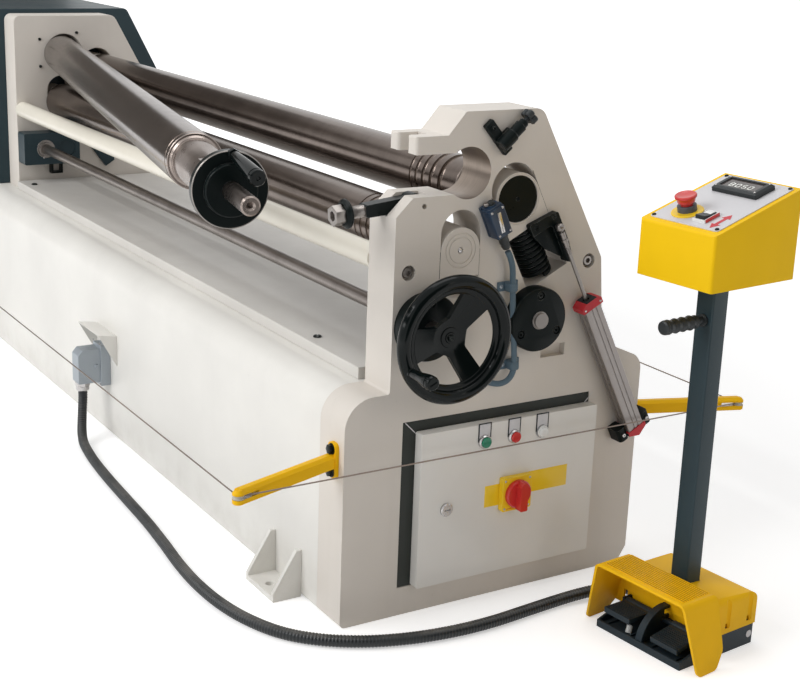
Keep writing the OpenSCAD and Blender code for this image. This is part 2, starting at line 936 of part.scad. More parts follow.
module plunger_knob() {
    color(BLACK)
        at_plunger()
            translate([plunger_x, 0, 0]) {
                cylinder(h = 84, d = plunger_pin_d);
                difference() {
                    union() {
                        for (a = [45 : 90 : 315])
                            rotate([0, 0, a])
                                translate([9, 0, 76])
                                    lathe([[0, 6], [2, 7.5], [12, 7.5], [14, 6]]);
                        translate([0, 0, 76])
                            cylinder(h = 13, d = 20);
                    }
                    translate([-20, -1.5, 88])
                        cube([40, 3, 3]);
                }
            }
}

// Limit switch on a foot that holds its body clear of the rear block
module limit_switch() {
    foot = 6;
    body_h = 64;
    color("#1f3f73")
        translate([x_end, y_front + 310, 799])
            rotate([rear_slot_tilt - 2, 0, 0]) {
                translate([0, -18, -body_h / 2])
                    cube([foot, 24, body_h]);
                translate([foot, 0, -body_h / 2])
                    linear_extrude(body_h - 4)
                        polygon(rounded_rect([0, -18], [28, 18], 3));
                translate([foot, 0, body_h / 2 - 4])
                    linear_extrude(4)
                        polygon(rounded_rect([0, -16], [26, 16], 3));
                // actuator head with its screw, and the boot of the cable
                translate([foot + 14, 0, body_h / 2])
                    lathe([[0, 9], [3, 9], [3, 6], [9, 6], [10, 5]]);
                translate([foot + 14, 0, -body_h])
                    lathe([[0, 7], [6, 9], [14, 9], [14, 10], [24, 10], [26, 11], [32, 11]]);
            }
}

module switch_cable() {
    d = 12;
    x = x_end + 20;
    turn_r = 26;
    foot_z = 470;
    color("#5f7d8c") {
        translate([x, y_front + 310, 799])
            rotate([rear_slot_tilt - 2, 0, 0])
                translate([0, 0, -82])
                    cylinder(h = 17.7, d = d);
        translate([x, y_front + 345, foot_z + turn_r])
            cylinder(h = 256 - turn_r, d = d);
        // saddle clips
        for (z = [foot_z + turn_r + 6, 661])
            difference() {
                union() {
                    translate([x_end, y_front + 325, z - 10])
                        cube([8, 40, 20]);
                    translate([x, y_front + 345, z - 10])
                        cylinder(h = 20, d = d + 6);
                    translate([x_end, y_front + 345 - d / 2 - 3, z - 10])
                        cube([20, d + 6, 20]);
                }
                for (y = [329.5, 360.5])
                    bar_x(x_end + 5, x_end + 9, y_front + y, z, 5);
            }
        // bend towards the front, into the hole of the end plate
        translate([x, y_front + 345 - turn_r, foot_z + turn_r])
            intersection() {
                rotate([0, 90, 0])
                    rotate_extrude()
                        translate([turn_r, 0])
                            circle(d = d);
                translate([-d, 0, -turn_r - d])
                    cube([2 * d, turn_r + d, turn_r + d]);
            }
        bar_x(x_end, x, y_front + 345 - turn_r, foot_z, d);
        translate([x, y_front + 345 - turn_r, foot_z])
            sphere(d = d);
    }
}

// Linear transducer: its rod follows the rear bearing block, parallel to the slanted slot
transducer_y = y_front + 459;
transducer_z = 773;
transducer_tilt = 27;
transducer_x = x_end + 26;
module at_transducer() {
    translate([transducer_x, transducer_y, transducer_z])
        rotate([transducer_tilt, 0, 0])
            children();
}

module transducer_body() {
    body_len = 312;
    at_transducer()
        difference() {
            union() {
                // square extrusion with two grooves along each side
                color("#a7a5a2")
                    translate([0, 0, -500])
                        linear_extrude(body_len)
                            difference() {
                                polygon(rounded_rect([-15, -20], [15, 20], 2));
                                for (side = [-1, 1])
                                    for (y = [-8, 3]) {
                                        translate([side * 15 - 1.5, y])
                                            square([3, 5]);
                                        translate([y * 1.1 + 2, side * 20 - 1.5])
                                            square([4, 3]);
                                    }
                            }
                color("#c0202a") {
                    translate([-17, 0, -190])
                        rotate([90, 0, 90])
                            linear_extrude(34)
                                polygon([[-26, 0], [26, 0], [26, 13], [16, 18], [-12, 18], [-26, 10]]);
                    translate([-17, 0, -516])
                        rotate([90, 0, 90])
                            linear_extrude(34)
                                polygon([[-24, 16], [-24, 8], [0, -4], [24, 8], [24, 16]]);
                }
                color(BLACK)
                    for (y = [-44, 20])
                        translate([-26, y, -514])
                            linear_extrude(30)
                                polygon(rounded([[0, 0, 3], [36, 0, 8], [36, 24, 8], [0, 24, 3]]));
            }
            translate([0, 0, -320])
                cylinder(h = 320, d = 14);
        }
}

module transducer_rod() {
    color(STEEL)
        at_transducer() {
            translate([0, 0, -240])
                cylinder(h = 240, d = 8);
            // rod end with its ball, jam nut and sleeve
            sphere(d = 18);
            translate([0, 0, -46])
                lathe([[0, 4.5], [2, 5.5], [14, 5.5], [14, 7], [20, 7], [20, 5.5], [36, 6]]);
            rotate([0, -90, 0])
                cylinder(h = transducer_x - x_end - block_proud - bracket_t, d = 8);
        }
}

// -------------------------------- cabinet

sheet = 2;
module cabinet_box() {
    color("#b9b6ae")
        difference() {
            cabinet_box_room(x_end - cabinet_depth, x_end - 2, 0.3);
            cabinet_box_room(x_end - cabinet_depth + sheet, x_end + 1, 0.3 + sheet);
        }
}
module cabinet_box_room(x0, x1, inset) {
    translate([x0, cabinet_y + inset, cabinet_z + inset])
        cube([x1 - x0, cabinet_w - 2 * inset, cabinet_h - 2 * inset]);
}

// The door hangs on its rear edge, which covers the edge of the recess
door_y = cabinet_y + cabinet_w + 4 - door_w;
door_z = cabinet_z + 2;
door_x = x_end + 0.5;
door_face = door_x + door_t;
button_z = 352;
button_y = [y_front + 306, y_front + 378, y_front + 448];
button_d = 22;
button_ring_d = 29;
module cabinet_door() {
    color(PAINT)
        difference() {
            along_x(door_x, door_t)
                polygon(rounded_rect([door_y, door_z], [door_y + door_w, door_z + door_h], 4));
            translate([door_x - 1, door_y + sheet, door_z + sheet])
                cube([door_t - sheet + 1, door_w - 2 * sheet, door_h - 2 * sheet]);
        }
    color(STEEL)
        for (y = [button_y[0], button_y[1]])
            difference() {
                lathe_x(door_face, y, button_z, [[0, button_ring_d / 2], [5, button_ring_d / 2],
                                                 [8, button_ring_d / 2 - 2]]);
                bar_x(door_face - 1, door_face + 9, y, button_z, button_d + 1);
            }
}

// The caps stand clear of the door by their travel
module push_button(y) {
    r = button_d / 2;
    lathe_x(door_face + 4, y, button_z, [[0, r], [6.5, r], [8, r - 1.5]]);
}

module start_button() {
    color("#0c6b46")
        push_button(button_y[0]);
}

module stop_button() {
    color("#b01822")
        push_button(button_y[1]);
}

module power_lamp() {
    color("white")
        lathe_x(door_face, button_y[2], button_z,
                [[0, 14], [4, 14], [5, 13], [5, 11], [9, 10.5], [12, 8.5], [14, 4]]);
}

main_y = y_front + 385;
main_z = 232;
module switch_plate() {
    half = 36;
    color(YELLOW)
        along_x(door_face, 14)
            polygon(rounded_rect([main_y - half, main_z - half], [main_y + half, main_z + half], 4));
}

module switch_handle() {
    half = 9;
    color("#a3161f") {
        lathe_x(door_face + 14.3, main_y, main_z, [[0, 30], [7, 30], [9.7, 27]]);
        // grip bar with a pointed end
        along_x(door_face + 22, 18)
            polygon(rounded([[main_y - half, main_z - 31, 3], [main_y + half, main_z - 31, 3],
                             [main_y + half, main_z + 20, 3], [main_y, main_z + 31, 3],
                             [main_y - half, main_z + 20, 3]]));
    }
}

module door_lock() {
    color("silver")
        difference() {
            lathe_x(door_face, y_front + 222, 222, [[0, 14], [4, 14], [6, 12]]);
            translate([door_face + 2, y_front + 215, 220.5])
                cube([5, 14, 3]);
        }
}

// -------------------------------- trip wire

// A flat arm bolted to each corner of the base holds the wire round an upright pin
wire_y = y_rear + arm_reach;
arm_x = x_end - 34;
arm_plate_h = 72;
wire_pin_d = 12;
module trip_arm() {
    arm_w = 20;
    arm_h = 28;
    plate_w = 30;
    turn = atan((wire_x - arm_x) / arm_reach);
    arm_len = arm_reach / cos(turn);
    difference() {
        union() {
            // bolted plate with rounded ends
            translate([arm_x, y_front, wire_z])
                rotate([90, 0, 0])
                    linear_extrude(8)
                        polygon(rounded_rect([-plate_w / 2, -arm_plate_h / 2],
                                             [plate_w / 2, arm_plate_h / 2], 10));
            translate([arm_x, y_front, wire_z])
                rotate([90, 0, turn])
                    linear_extrude(arm_len)
                        polygon(rounded([[-arm_w / 2, -arm_h / 2, 2], [arm_w / 2, -arm_h / 2, 2],
                                         [arm_w / 2, arm_h / 2 - 6, 1], [3, arm_h / 2, 1],
                                         [-arm_w / 2, arm_h / 2, 2]]));
            translate([wire_x, -wire_y, wire_z - arm_h / 2 + 0.5])
                lathe([[0, arm_w / 2], [2, arm_w / 2 + 1.5], [arm_h - 7, arm_w / 2 + 1.5],
                       [arm_h - 1.5, arm_w / 2 - 3]]);
        }
        // fork that lets the wire through to the pin
        translate([wire_x, -wire_y, wire_z - 4])
            cylinder(h = 8, r = 44);
        // the arm ends at the face of the base
        translate([arm_x - 40, y_front, wire_z - 40])
            cube([80, 20, 80]);
    }
    translate([wire_x, -wire_y, wire_z - arm_h / 2 + 1])
        cylinder(h = arm_h - 2, d = wire_pin_d);
}

module trip_arms() {
    color(YELLOW)
        four_corners()
            trip_arm();
}

// A stretch of wire along X, and one along Y, each between two pins
module wire_along_x(y) {
    translate([0, y, wire_z])
        rotate([0, 90, 0])
            cylinder(h = 2 * wire_x - wire_pin_d - 0.8, d = wire_d, center = true);
}

module wire_along_y(x) {
    translate([x, 0, wire_z])
        rotate([90, 0, 0])
            cylinder(h = 2 * wire_y - wire_pin_d - 0.8, d = wire_d, center = true);
}

module trip_wire() {
    color("#6d655e") {
        wire_along_x(-wire_y);
        wire_along_x(wire_y);
        wire_along_y(-wire_x);
    }
}

module trip_wire_end() {
    color("#6d655e")
        wire_along_y(wire_x);
}

// -------------------------------- connector and conduit

plug_x = x_end - 1259;
plug_w = 46;
socket_depth = 27;
plug_depth = 86;
plug_z = 150;
plug_h = 91;
cover_w = 150;
// Sheet cowl over the connector: a sloping roof between two tapered cheeks
module connector_cover() {
    t = 2;
    roof = [[y_front, 285], [y_front - 50, 292], [y_front - 50, 292 - t], [y_front, 285 - t]];
    cheek = [[y_front, 202], [y_front, 285], [y_front - 50, 292]];
    color(PAINT) {
        along_x(plug_x - cover_w / 2, cover_w)
            polygon(roof);
        for (x = [plug_x - cover_w / 2, plug_x + cover_w / 2 - t])
            along_x(x, t)
                polygon(cheek);
    }
}

module connector_plug() {
    half = plug_w / 2;
    color("#8d98a3") {
        // fixed housing on the base, then the hood with its chamfered shoulders
        translate([plug_x - half - 4, y_front - socket_depth, plug_z - 10])
            cube([plug_w + 8, socket_depth, plug_h + 18]);
        translate([plug_x - half, 0, 0])
            rotate([90, 0, 90])
                linear_extrude(plug_w)
                    polygon(rounded([
                        [y_front - socket_depth, plug_z, 0],
                        [y_front - socket_depth, plug_z + plug_h, 0],
                        [y_front - plug_depth + 12, plug_z + plug_h, 4],
                        [y_front - plug_depth, plug_z + plug_h - 14, 6],
                        [y_front - plug_depth, plug_z, 3]
                    ]));
        // locking lever's pegs
        bar_x(plug_x - half - 6, plug_x + half + 6, y_front - socket_depth - 10,
              plug_z + plug_h / 2, 10);
    }
}

gland_y = y_front - 68;
gland_h = 22;
conduit_d = 25;
module hose_gland() {
    color(STEEL)
        translate([plug_x, gland_y, plug_z - gland_h]) {
            lathe([[0, 15], [2, 17], [12, 17], [13, 16], [gland_h, 16]]);
            translate([0, 0, 13])
                cylinder(h = gland_h - 13, d = 39, $fn = 6);
        }
}

// Route of the conduit's middle, from the gland to the pedal unit
conduit_route = [
    [141, -428, 128],
    [141, -428, 108],
    [145, -431, 84],
    [157, -437, 56],
    [182, -447, 30],
    [222, -458, 16],
    [280, -468, 13],
    [370, -480, 13],
    [490, -490, 13],
    [630, -498, 13],
    [770, -506, 13],
    [900, -518, 13],
    [1010, -530, 13],
    [1110, -535, 13],
    [1210, -530, 13],
    [1300, -512, 13],
    [1380, -478, 13],
    [1440, -425, 13],
    [1485, -355, 13],
    [1515, -270, 13],
    [1530, -180, 13],
    [1532, -90, 13],
    [1524, 0, 13],
    [1517, 74, 13],
    [1518, 132, 16],
    [1528, 182, 21],
    [1548, 219, 26],
    [1577, 237, 28],
    [1608, 240, 28]
];
module conduit() {
    sides = 10;
    n = len(conduit_route);
    function heading(i) = unit(conduit_route[min(i + 1, n - 1)] - conduit_route[max(i - 1, 0)]);
    function ring(i) =
        let (
            t = heading(i),
            side = unit(cross(t, abs(t[2]) > 0.9 ? [1, 0, 0] : [0, 0, 1])),
            up = cross(side, t)
        )
        [for (k = [0 : sides - 1])
            conduit_route[i] + conduit_d / 2 * (cos(360 * k / sides) * side
                                                + sin(360 * k / sides) * up)];
    points = [for (i = [0 : n - 1]) each ring(i)];
    faces = concat(
        [[for (k = [0 : sides - 1]) k]],
        [for (i = [0 : n - 2])
            for (k = [0 : sides - 1])
                [i * sides + k, (i + 1) * sides + k, (i + 1) * sides + (k + 1) % sides,
                 i * sides + (k + 1) % sides]],
        [[for (k = [sides - 1 : -1 : 0]) (n - 1) * sides + k]]
    );
    color("#1a1d1f")
        polyhedron(points, faces);
}

// -------------------------------- pedal unit

stand_x = x_end + 320;
stand_y = y_front + 589;
stand_turn = 6;
// Puts its children on the floor at the pedal unit, with local y to its rear
module at_stand() {
    translate([stand_x, stand_y, 0])
        rotate([0, 0, stand_turn])
            children();
}

pedal_front = -114;
pedal_rear = 99;
pedal_block_y = -30;
pedal_ear_t = 5;
module pedal_base() {
    half = pedal_base_w / 2;
    floor_t = 9;
    lip_h = 15;
    color(BLACK)
        at_stand() {
            translate([-half, pedal_front, 0])
                cube([pedal_base_w, pedal_block_y - pedal_front, floor_t]);
            translate([-half, pedal_front, 0])
                cube([pedal_base_w, 5, lip_h]);
            linear_extrude(pedal_block_h)
                polygon(rounded([[-half, pedal_block_y, 0], [half, pedal_block_y, 0],
                                 [half, pedal_rear, 8], [-half, pedal_rear, 8]]));
            // sloping side cheeks and low floor ribs
            for (x = [-half, half - 5])
                translate([x, 0, 0])
                    rotate([90, 0, 90])
                        linear_extrude(5)
                            polygon([[pedal_front, 0], [pedal_front, lip_h],
                                     [pedal_block_y, pedal_block_h], [pedal_block_y, 0]]);
            for (x = [-92, -30, 26, 88])
                translate([x, pedal_front, 0])
                    cube([4, pedal_block_y - pedal_front, floor_t + 4]);
            // pin of the two pedals in its ears
            translate([0, pedal_axis_y, pedal_axis_z])
                rotate([0, 90, 0])
                    cylinder(h = 2 * (pedal_x + pedal_w / 2 + pedal_ear_t), d = pedal_pin_d,
                             center = true);
            for (x = [-pedal_x - pedal_w / 2 - 1 - pedal_ear_t, -pedal_ear_t / 2,
                      pedal_x + pedal_w / 2 + 1])
                translate([x, pedal_axis_y - 9, 0])
                    cube([pedal_ear_t, pedal_block_y + 9 - pedal_axis_y, pedal_axis_z + 9]);
            pedal_divider();
        }
}

// Curved fender between the pedals, a quarter ring that rises from the base's front
module pedal_divider() {
    r = 68;
    t = 6;
    w = 16;
    translate([-w / 2, pedal_front + r + 2, 6])
        intersection() {
            rotate([0, 90, 0])
                difference() {
                    cylinder(h = w, r = r);
                    translate([0, 0, -1])
                        cylinder(h = w + 2, r = r - t);
                }
            translate([-1, -r - 1, 0])
                cube([w + 2, r + 1, r + 1]);
        }
    // web under it, and the shelf at its top, which ends before the guard's rear wall
    translate([-2, pedal_front + r + 2, 6])
        intersection() {
            rotate([0, 90, 0])
                cylinder(h = 4, r = r - 2);
            translate([-1, -r - 1, 0])
                cube([6, r + 1, r + 1]);
        }
    translate([-w / 2, pedal_front + r + 2, r])
        cube([w, guard_rear - guard_t - 1 - pedal_front - r - 2, t]);
}

guard_front_top = -124;
guard_front_foot = -106;
guard_rear = -30;
guard_t = 5;
guard_panel_low = 34;
// End view of the guard's hood between its flared side panels
module guard_outline(inset) {
    foot = guard_w / 2 - inset;
    top = guard_top_w / 2 - inset;
    polygon(rounded([[-foot, 0, 0], [foot, 0, 0], [top, guard_h - inset, 14 - inset],
                     [-top, guard_h - inset, 14 - inset]], 4));
}

module pedal_guard() {
    side = rounded([
        [guard_front_foot, 0, 12],
        [guard_rear - 24, 2, 16],
        [guard_rear, guard_panel_low, 20],
        [guard_rear, guard_h, 10],
        [guard_front_top, guard_h, 3]
    ], 4);
    rib_pitch = 6;
    color(YELLOW)
        at_stand() {
            difference() {
                intersection() {
                    translate([0, guard_rear, 0])
                        rotate([90, 0, 0])
                            linear_extrude(guard_rear - guard_front_top)
                                guard_outline(0);
                    along_x(-guard_w / 2, guard_w)
                        polygon(side);
                }
                translate([0, guard_rear - guard_t, 0])
                    rotate([90, 0, 0])
                        linear_extrude(guard_rear - guard_front_top)
                            guard_outline(guard_t);
                // the rear wall ends above the pedals and their block
                translate([-guard_top_w / 2, guard_rear - guard_t - 1, -1])
                    cube([guard_top_w, guard_t + 2, rear_wall_low + 1]);
            }
            // grip ribs across the top
            for (y = [guard_front_top + 12 : rib_pitch : guard_rear - 10])
                translate([-guard_top_w / 2 + 14, y, guard_h - 1])
                    cube([guard_top_w - 28, 2.6, 2.2]);
        }
}
rear_wall_low = 58;

pedal_w = 68;
pedal_axis_y = -44;
pedal_axis_z = 42;
pedal_pin_d = 10;
pedal_x = 62;
pedal_len = 66;
// A pedal with a lipped, ribbed pad on its hub; tilt is how far its front is down
module pedal(x, tilt) {
    hub_d = pedal_pin_d + 8;
    pad_t = 6;
    color(BLACK)
        at_stand()
            translate([x, pedal_axis_y, pedal_axis_z])
                rotate([tilt, 0, 0])
                    difference() {
                        union() {
                            rotate([0, 90, 0])
                                cylinder(h = pedal_w, d = hub_d, center = true);
                            translate([-pedal_w / 2, 0, -1])
                                rotate([90, 0, 90])
                                    linear_extrude(pedal_w)
                                        polygon([[0, 0], [-pedal_len + 4, 0], [-pedal_len + 3, -5],
                                                 [-pedal_len, -5], [-pedal_len, pad_t],
                                                 [0, pad_t]]);
                            for (i = [0 : 8])
                                translate([-pedal_w / 2 + 3, -pedal_len + 3 + 5.5 * i, 0])
                                    cube([pedal_w - 6, 2, pad_t + 0.2]);
                            for (side = [-pedal_w / 2, pedal_w / 2 - 3])
                                translate([side, -pedal_len + 6, -5])
                                    cube([3, pedal_len - 6, 8]);
                        }
                        rotate([0, 90, 0])
                            cylinder(h = pedal_w + 2, d = pedal_pin_d + 2 * run_gap, center = true);
                    }
}

module pedal_left() {
    pedal(-pedal_x, 0);
}

// The right pedal stands lower than the left one
pedal_right_tilt = 10;
module pedal_right() {
    pedal(pedal_x, pedal_right_tilt);
}

cover_front_z = 118;
cover_rear_z = 110;
module rear_cover() {
    half = pedal_base_w / 2;
    color(YELLOW)
        at_stand()
            difference() {
                intersection() {
                    along_x(-half, pedal_base_w)
                        polygon(rounded([[pedal_block_y, pedal_block_h, 0],
                                         [pedal_rear, pedal_block_h, 0],
                                         [pedal_rear, cover_rear_z, 18],
                                         [pedal_block_y, cover_front_z, 3]]));
                    translate([0, pedal_rear, 0])
                        rotate([90, 0, 0])
                            linear_extrude(pedal_rear - pedal_block_y)
                                polygon(rounded([[-half, 0, 0], [half, 0, 0],
                                                 [half, cover_front_z, 18],
                                                 [-half, cover_front_z, 18]]));
                }
                translate([-column_w / 2 - 0.3, column_y - column_w / 2 - 0.3, pedal_block_h - 1])
                    cube([column_w + 0.6, column_w + 0.6, cover_front_z]);
                // flutes down the sides, each with a screw pocket at its foot
                for (side = [-1, 1])
                    for (y = [pedal_block_y + 46, pedal_rear - 20]) {
                        translate([side * (half + 3), y, pedal_block_h + 10])
                            cylinder(h = cover_front_z, d = 15);
                        translate([side * (half - 6), y, pedal_block_h + 6])
                            cylinder(h = 12, d = 9);
                    }
            }
}

column_y = 10;
module column() {
    wall = 3;
    color(DARK)
        at_stand()
            translate([0, column_y, pedal_block_h])
                linear_extrude(column_h - pedal_block_h)
                    difference() {
                        polygon(rounded_rect([-column_w / 2, -column_w / 2],
                                             [column_w / 2, column_w / 2], 4));
                        square(column_w - 2 * wall, center = true);
                    }
}

// A round bar with a collar at the column, four finger waves and an end cap
module column_grip() {
    wave = 4;
    outline = concat(
        [[0, 12], [4, 12], [5, 8], [20, 8], [21, 12]],
        [for (i = [0 : 4 * wave]) [24 + 78 * i / (4 * wave), 13 - 1.4 * sin(90 * i)]],
        [[104, 14], [108, 13], [110, 10]]
    );
    color(BLACK)
        at_stand()
            translate([0, column_y - column_w / 2, 647])
                rotate([90, 0, 0])
                    lathe(outline);
}

// Side view of the console: upright front, sloping face, rounded upper edges
module console_outline() {
    polygon(rounded([[-console_d / 2, 0, 2], [console_d / 2, 0, 2],
                     [console_d / 2, console_h2, 6], [-console_d / 2, console_h1, 6]]));
}

face_slope = atan((console_h2 - console_h1) / console_d);
module console_box() {
    half_w = console_w / 2;
    half_d = console_d / 2;
    color(YELLOW)
        intersection() {
            at_stand()
                translate([-half_w, column_y, column_h])
                    rotate([90, 0, 90])
                        linear_extrude(console_w)
                            console_outline();
            at_stand()
                translate([0, column_y, column_h - 1])
                    linear_extrude(console_h2 + 2)
                        polygon(rounded_rect([-half_w, -half_d], [half_w, half_d], 8));
        }
}

// Puts its children on the middle of the console's sloping face
module on_console() {
    at_stand()
        translate([0, column_y, column_h + (console_h1 + console_h2) / 2])
            rotate([face_slope, 0, 0])
                children();
}

face_t = 2;
module console_face() {
    bezel_w = rocker_w + 2 * slide_gap;
    bezel_l = rocker_l + 4;
    half_w = console_w / 2 - 10;
    half_d = console_d / 2 - 10;
    color("#d5d7dc")
        on_console() {
            linear_extrude(face_t)
                polygon(rounded_rect([-half_w, -half_d], [half_w, half_d], 7));
            translate([rocker_x - bezel_w / 2 - 3, rocker_y - bezel_l / 2 - 3, face_t])
                difference() {
                    cube([bezel_w + 6, bezel_l + 6, 6]);
                    translate([3, 3, -1])
                        cube([bezel_w, bezel_l, 8]);
                }
        }
}

display_w = 104;
display_l = 54;
display_h = 12;
module display() {
    bevel = 4;
    color(BLACK)
        on_console()
            translate([0, 59, face_t])
                difference() {
                    intersection() {
                        display_block(display_w, display_l, bevel);
                        rotate([0, 0, 90])
                            display_block(display_l, display_w, bevel);
                    }
                    // window
                    translate([-display_w / 2 + 11, -display_l / 2 + 9, display_h - 2.5])
                        cube([display_w - 22, display_l - 18, 3]);
                }
}

// A block with its two long top edges bevelled
module display_block(w, l, bevel) {
    translate([0, l / 2, 0])
        rotate([90, 0, 0])
            linear_extrude(l)
                polygon([[-w / 2, 0], [w / 2, 0], [w / 2, display_h - bevel],
                         [w / 2 - bevel, display_h], [-w / 2 + bevel, display_h],
                         [-w / 2, display_h - bevel]]);
}

estop_x = -27;
estop_y = -63;
estop_stem_d = 22;
estop_collar_h = 14;
estop_travel = 4;
module estop_base() {
    color(YELLOW)
        on_console()
            translate([estop_x, estop_y, face_t])
                difference() {
                    lathe([[0, 30], [2, 30], [3, 28.5], [3, 18], [estop_collar_h - 1, 18],
                           [estop_collar_h, 17]]);
                    translate([0, 0, 3])
                        cylinder(h = estop_collar_h, d = estop_stem_d + 2 * slide_gap);
                }
}

module estop_button() {
    r = estop_stem_d / 2;
    // stem, flared head and its dished top
    color("#d01c1f")
        on_console()
            translate([estop_x, estop_y, face_t + estop_travel + 4])
                lathe([[0, r], [estop_collar_h - 2, r], [estop_collar_h - 2, 16],
                       [estop_collar_h + 3, 17], [estop_collar_h + 8, 20.5],
                       [estop_collar_h + 11, 20.5], [estop_collar_h + 12.5, 18.5],
                       [estop_collar_h + 12, 15], [estop_collar_h + 10.5, 6]]);
}

// The rocker rests tipped back in its bezel
rocker_tip = 8;
rocker_x = 24;
rocker_y = -70;
rocker_w = 22;
rocker_l = 32;
rocker_z = face_t + 6;
module rocker_switch() {
    half = rocker_l / 2;
    color(BLACK)
        on_console()
            translate([rocker_x, rocker_y, rocker_z])
                rotate([-rocker_tip, 0, 0])
                    translate([-rocker_w / 2, 0, 0])
                        rotate([90, 0, 90])
                            linear_extrude(rocker_w)
                                polygon([[-half, -3], [half, -3], [half, 4], [0, 2.4],
                                         [-half, 4]]);
}

base_shell();
anchor_feet();
deck_plate();
right_frame();
left_frame();
gear_cover();
tie_tube();
left_gear_block();
shaft_flange();
adjusting_hub();
swivel_bearing();
top_roll();
bush_flange();
pull_handle();
swing_bolt();
front_bearing_blocks();
front_roll();
rear_bearing_blocks();
rear_roll();
spring_bracket();
block_spring();
adjusting_shaft();
handwheel();
wheel_grip();
plunger_bracket();
plunger_knob();
limit_switch();
switch_cable();
transducer_body();
transducer_rod();
cabinet_box();
cabinet_door();
start_button();
stop_button();
power_lamp();
switch_plate();
switch_handle();
door_lock();
trip_arms();
trip_wire();
trip_wire_end();
connector_cover();
connector_plug();
hose_gland();
conduit();
pedal_base();
pedal_guard();
pedal_left();
pedal_right();
rear_cover();
column();
column_grip();
console_box();
console_face();
display();
estop_base();
estop_button();
rocker_switch();
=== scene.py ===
import json
import math

import bmesh
import bpy
from mathutils import Matrix, Vector


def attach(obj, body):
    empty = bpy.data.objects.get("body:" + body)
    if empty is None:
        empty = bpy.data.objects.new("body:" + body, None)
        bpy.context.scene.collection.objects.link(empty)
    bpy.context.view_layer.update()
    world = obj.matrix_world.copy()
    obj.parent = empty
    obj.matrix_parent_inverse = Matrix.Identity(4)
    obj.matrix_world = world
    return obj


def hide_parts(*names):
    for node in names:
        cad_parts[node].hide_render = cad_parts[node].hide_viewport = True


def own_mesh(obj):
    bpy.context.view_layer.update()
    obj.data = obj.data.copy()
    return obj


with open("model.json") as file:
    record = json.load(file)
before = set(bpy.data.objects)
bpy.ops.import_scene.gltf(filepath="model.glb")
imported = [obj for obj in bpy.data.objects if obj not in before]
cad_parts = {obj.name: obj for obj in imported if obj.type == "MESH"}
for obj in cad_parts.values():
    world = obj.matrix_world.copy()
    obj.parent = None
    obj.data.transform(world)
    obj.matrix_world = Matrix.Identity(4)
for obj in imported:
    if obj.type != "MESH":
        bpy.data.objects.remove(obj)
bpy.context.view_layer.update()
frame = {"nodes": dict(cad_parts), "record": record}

NODES = frame["nodes"]
SLOT_OF = {part["node"]: part["material_slot"] for part in frame["record"]["subparts"]}
BODY_OF = {node: body for body, nodes in frame["record"]["behaviour"]["bodies"].items()
           for node in nodes}
MM = 0.001

# ------------------------------------------------------------------ camera

CAMERA_PLACE = (3.676, -1.667, 1.363)
CAMERA_TILT, CAMERA_ROLL, CAMERA_HEADING = 73.66, -2.05, 58.60


def added(name, data):
    """A new object in the scene."""
    made = bpy.data.objects.new(name, data)
    bpy.context.collection.objects.link(made)
    return made


def make_camera():
    data = bpy.data.cameras.new("camera")
    data.lens, data.sensor_width = 66.48, 36.0
    camera = added("camera", data)
    camera.location = CAMERA_PLACE
    camera.rotation_euler = [math.radians(a) for a in (CAMERA_TILT, CAMERA_ROLL, CAMERA_HEADING)]
    bpy.context.scene.camera = camera


make_camera()

# ------------------------------------------------------------------ frames of the fittings


def shift(x, y, z):
    """A move by millimetres."""
    return Matrix.Translation(Vector((x, y, z)) * MM)


def turn(degrees, axis):
    return Matrix.Rotation(math.radians(degrees), 4, axis)


X_END = 1400.0
TOP_ROLL = shift(-917.5, -105, 889) @ turn(-12, "Z")
FRONT_AXIS = (-117.0, 741.0)
REAR_AXIS = (11.988, 831.398)
SHAFT_AXIS = (-194.0, 602.0)
HUB_AXIS = (61.0, 590.0)
PLUNGER = shift(X_END, -105, 889) @ turn(-49, "X") @ shift(0, 0, 75.5)
SWITCH = shift(X_END, -50, 799) @ turn(25, "X")
REAR_SLOT = shift(X_END, 2, 851) @ turn(27, "X")
TRANSDUCER = shift(1426, 99, 773) @ turn(27, "X")
SWING_BOLT = shift(1352.5, -202, 832) @ turn(95, "X")
WHEEL = shift(1510, *SHAFT_AXIS) @ turn(90, "Y")
STAND = shift(1720, 229, 0) @ turn(6, "Z")
FACE_SLOPE = math.degrees(math.atan((172 - 104) / 233))
CONSOLE = STAND @ shift(0, 10, 729 + 138) @ turn(FACE_SLOPE, "X")
# Local z of these points out of the end plate, or out of the front of the base
OUT_OF_END = turn(90, "Y")
OUT_OF_FRONT = turn(90, "X")
DOOR_FACE = 1424.5
LEFT_FACE = -870.2
ARM_X, ARM_Y, WIRE_Z = 1452, 605, 345
BUTTON_YS, LEGEND_Z = (-54, 18, 88), 376
MAIN_SWITCH = (25, 232)
DISPLAY_Y = 59


def on_end(y, z, x=X_END):
    """A place on the operator's end, local z pointing out of it."""
    return shift(x, y, z) @ OUT_OF_END


# ------------------------------------------------------------------ shader node groups


def add(tree, kind, inputs=None, **settings):
    """A node with its settings; an input is a value or the socket that feeds it."""
    made = tree.nodes.new("ShaderNode" + kind)
    for key, value in settings.items():
        setattr(made, key, value)
    for key, value in (inputs or {}).items():
        if isinstance(value, bpy.types.NodeSocket):
            tree.links.new(value, made.inputs[key])
        else:
            made.inputs[key].default_value = value
    return made


def maths(tree, operation, a, b=0.0, clamp=False):
    return add(tree, "Math", {0: a, 1: b}, operation=operation, use_clamp=clamp).outputs[0]


def weighted(tree, first, *others):
    """The sum of masks, each given with its weight."""
    total = maths(tree, "MULTIPLY", *first)
    for value, weight in others:
        total = maths(tree, "ADD", total, maths(tree, "MULTIPLY", value, weight))
    return total


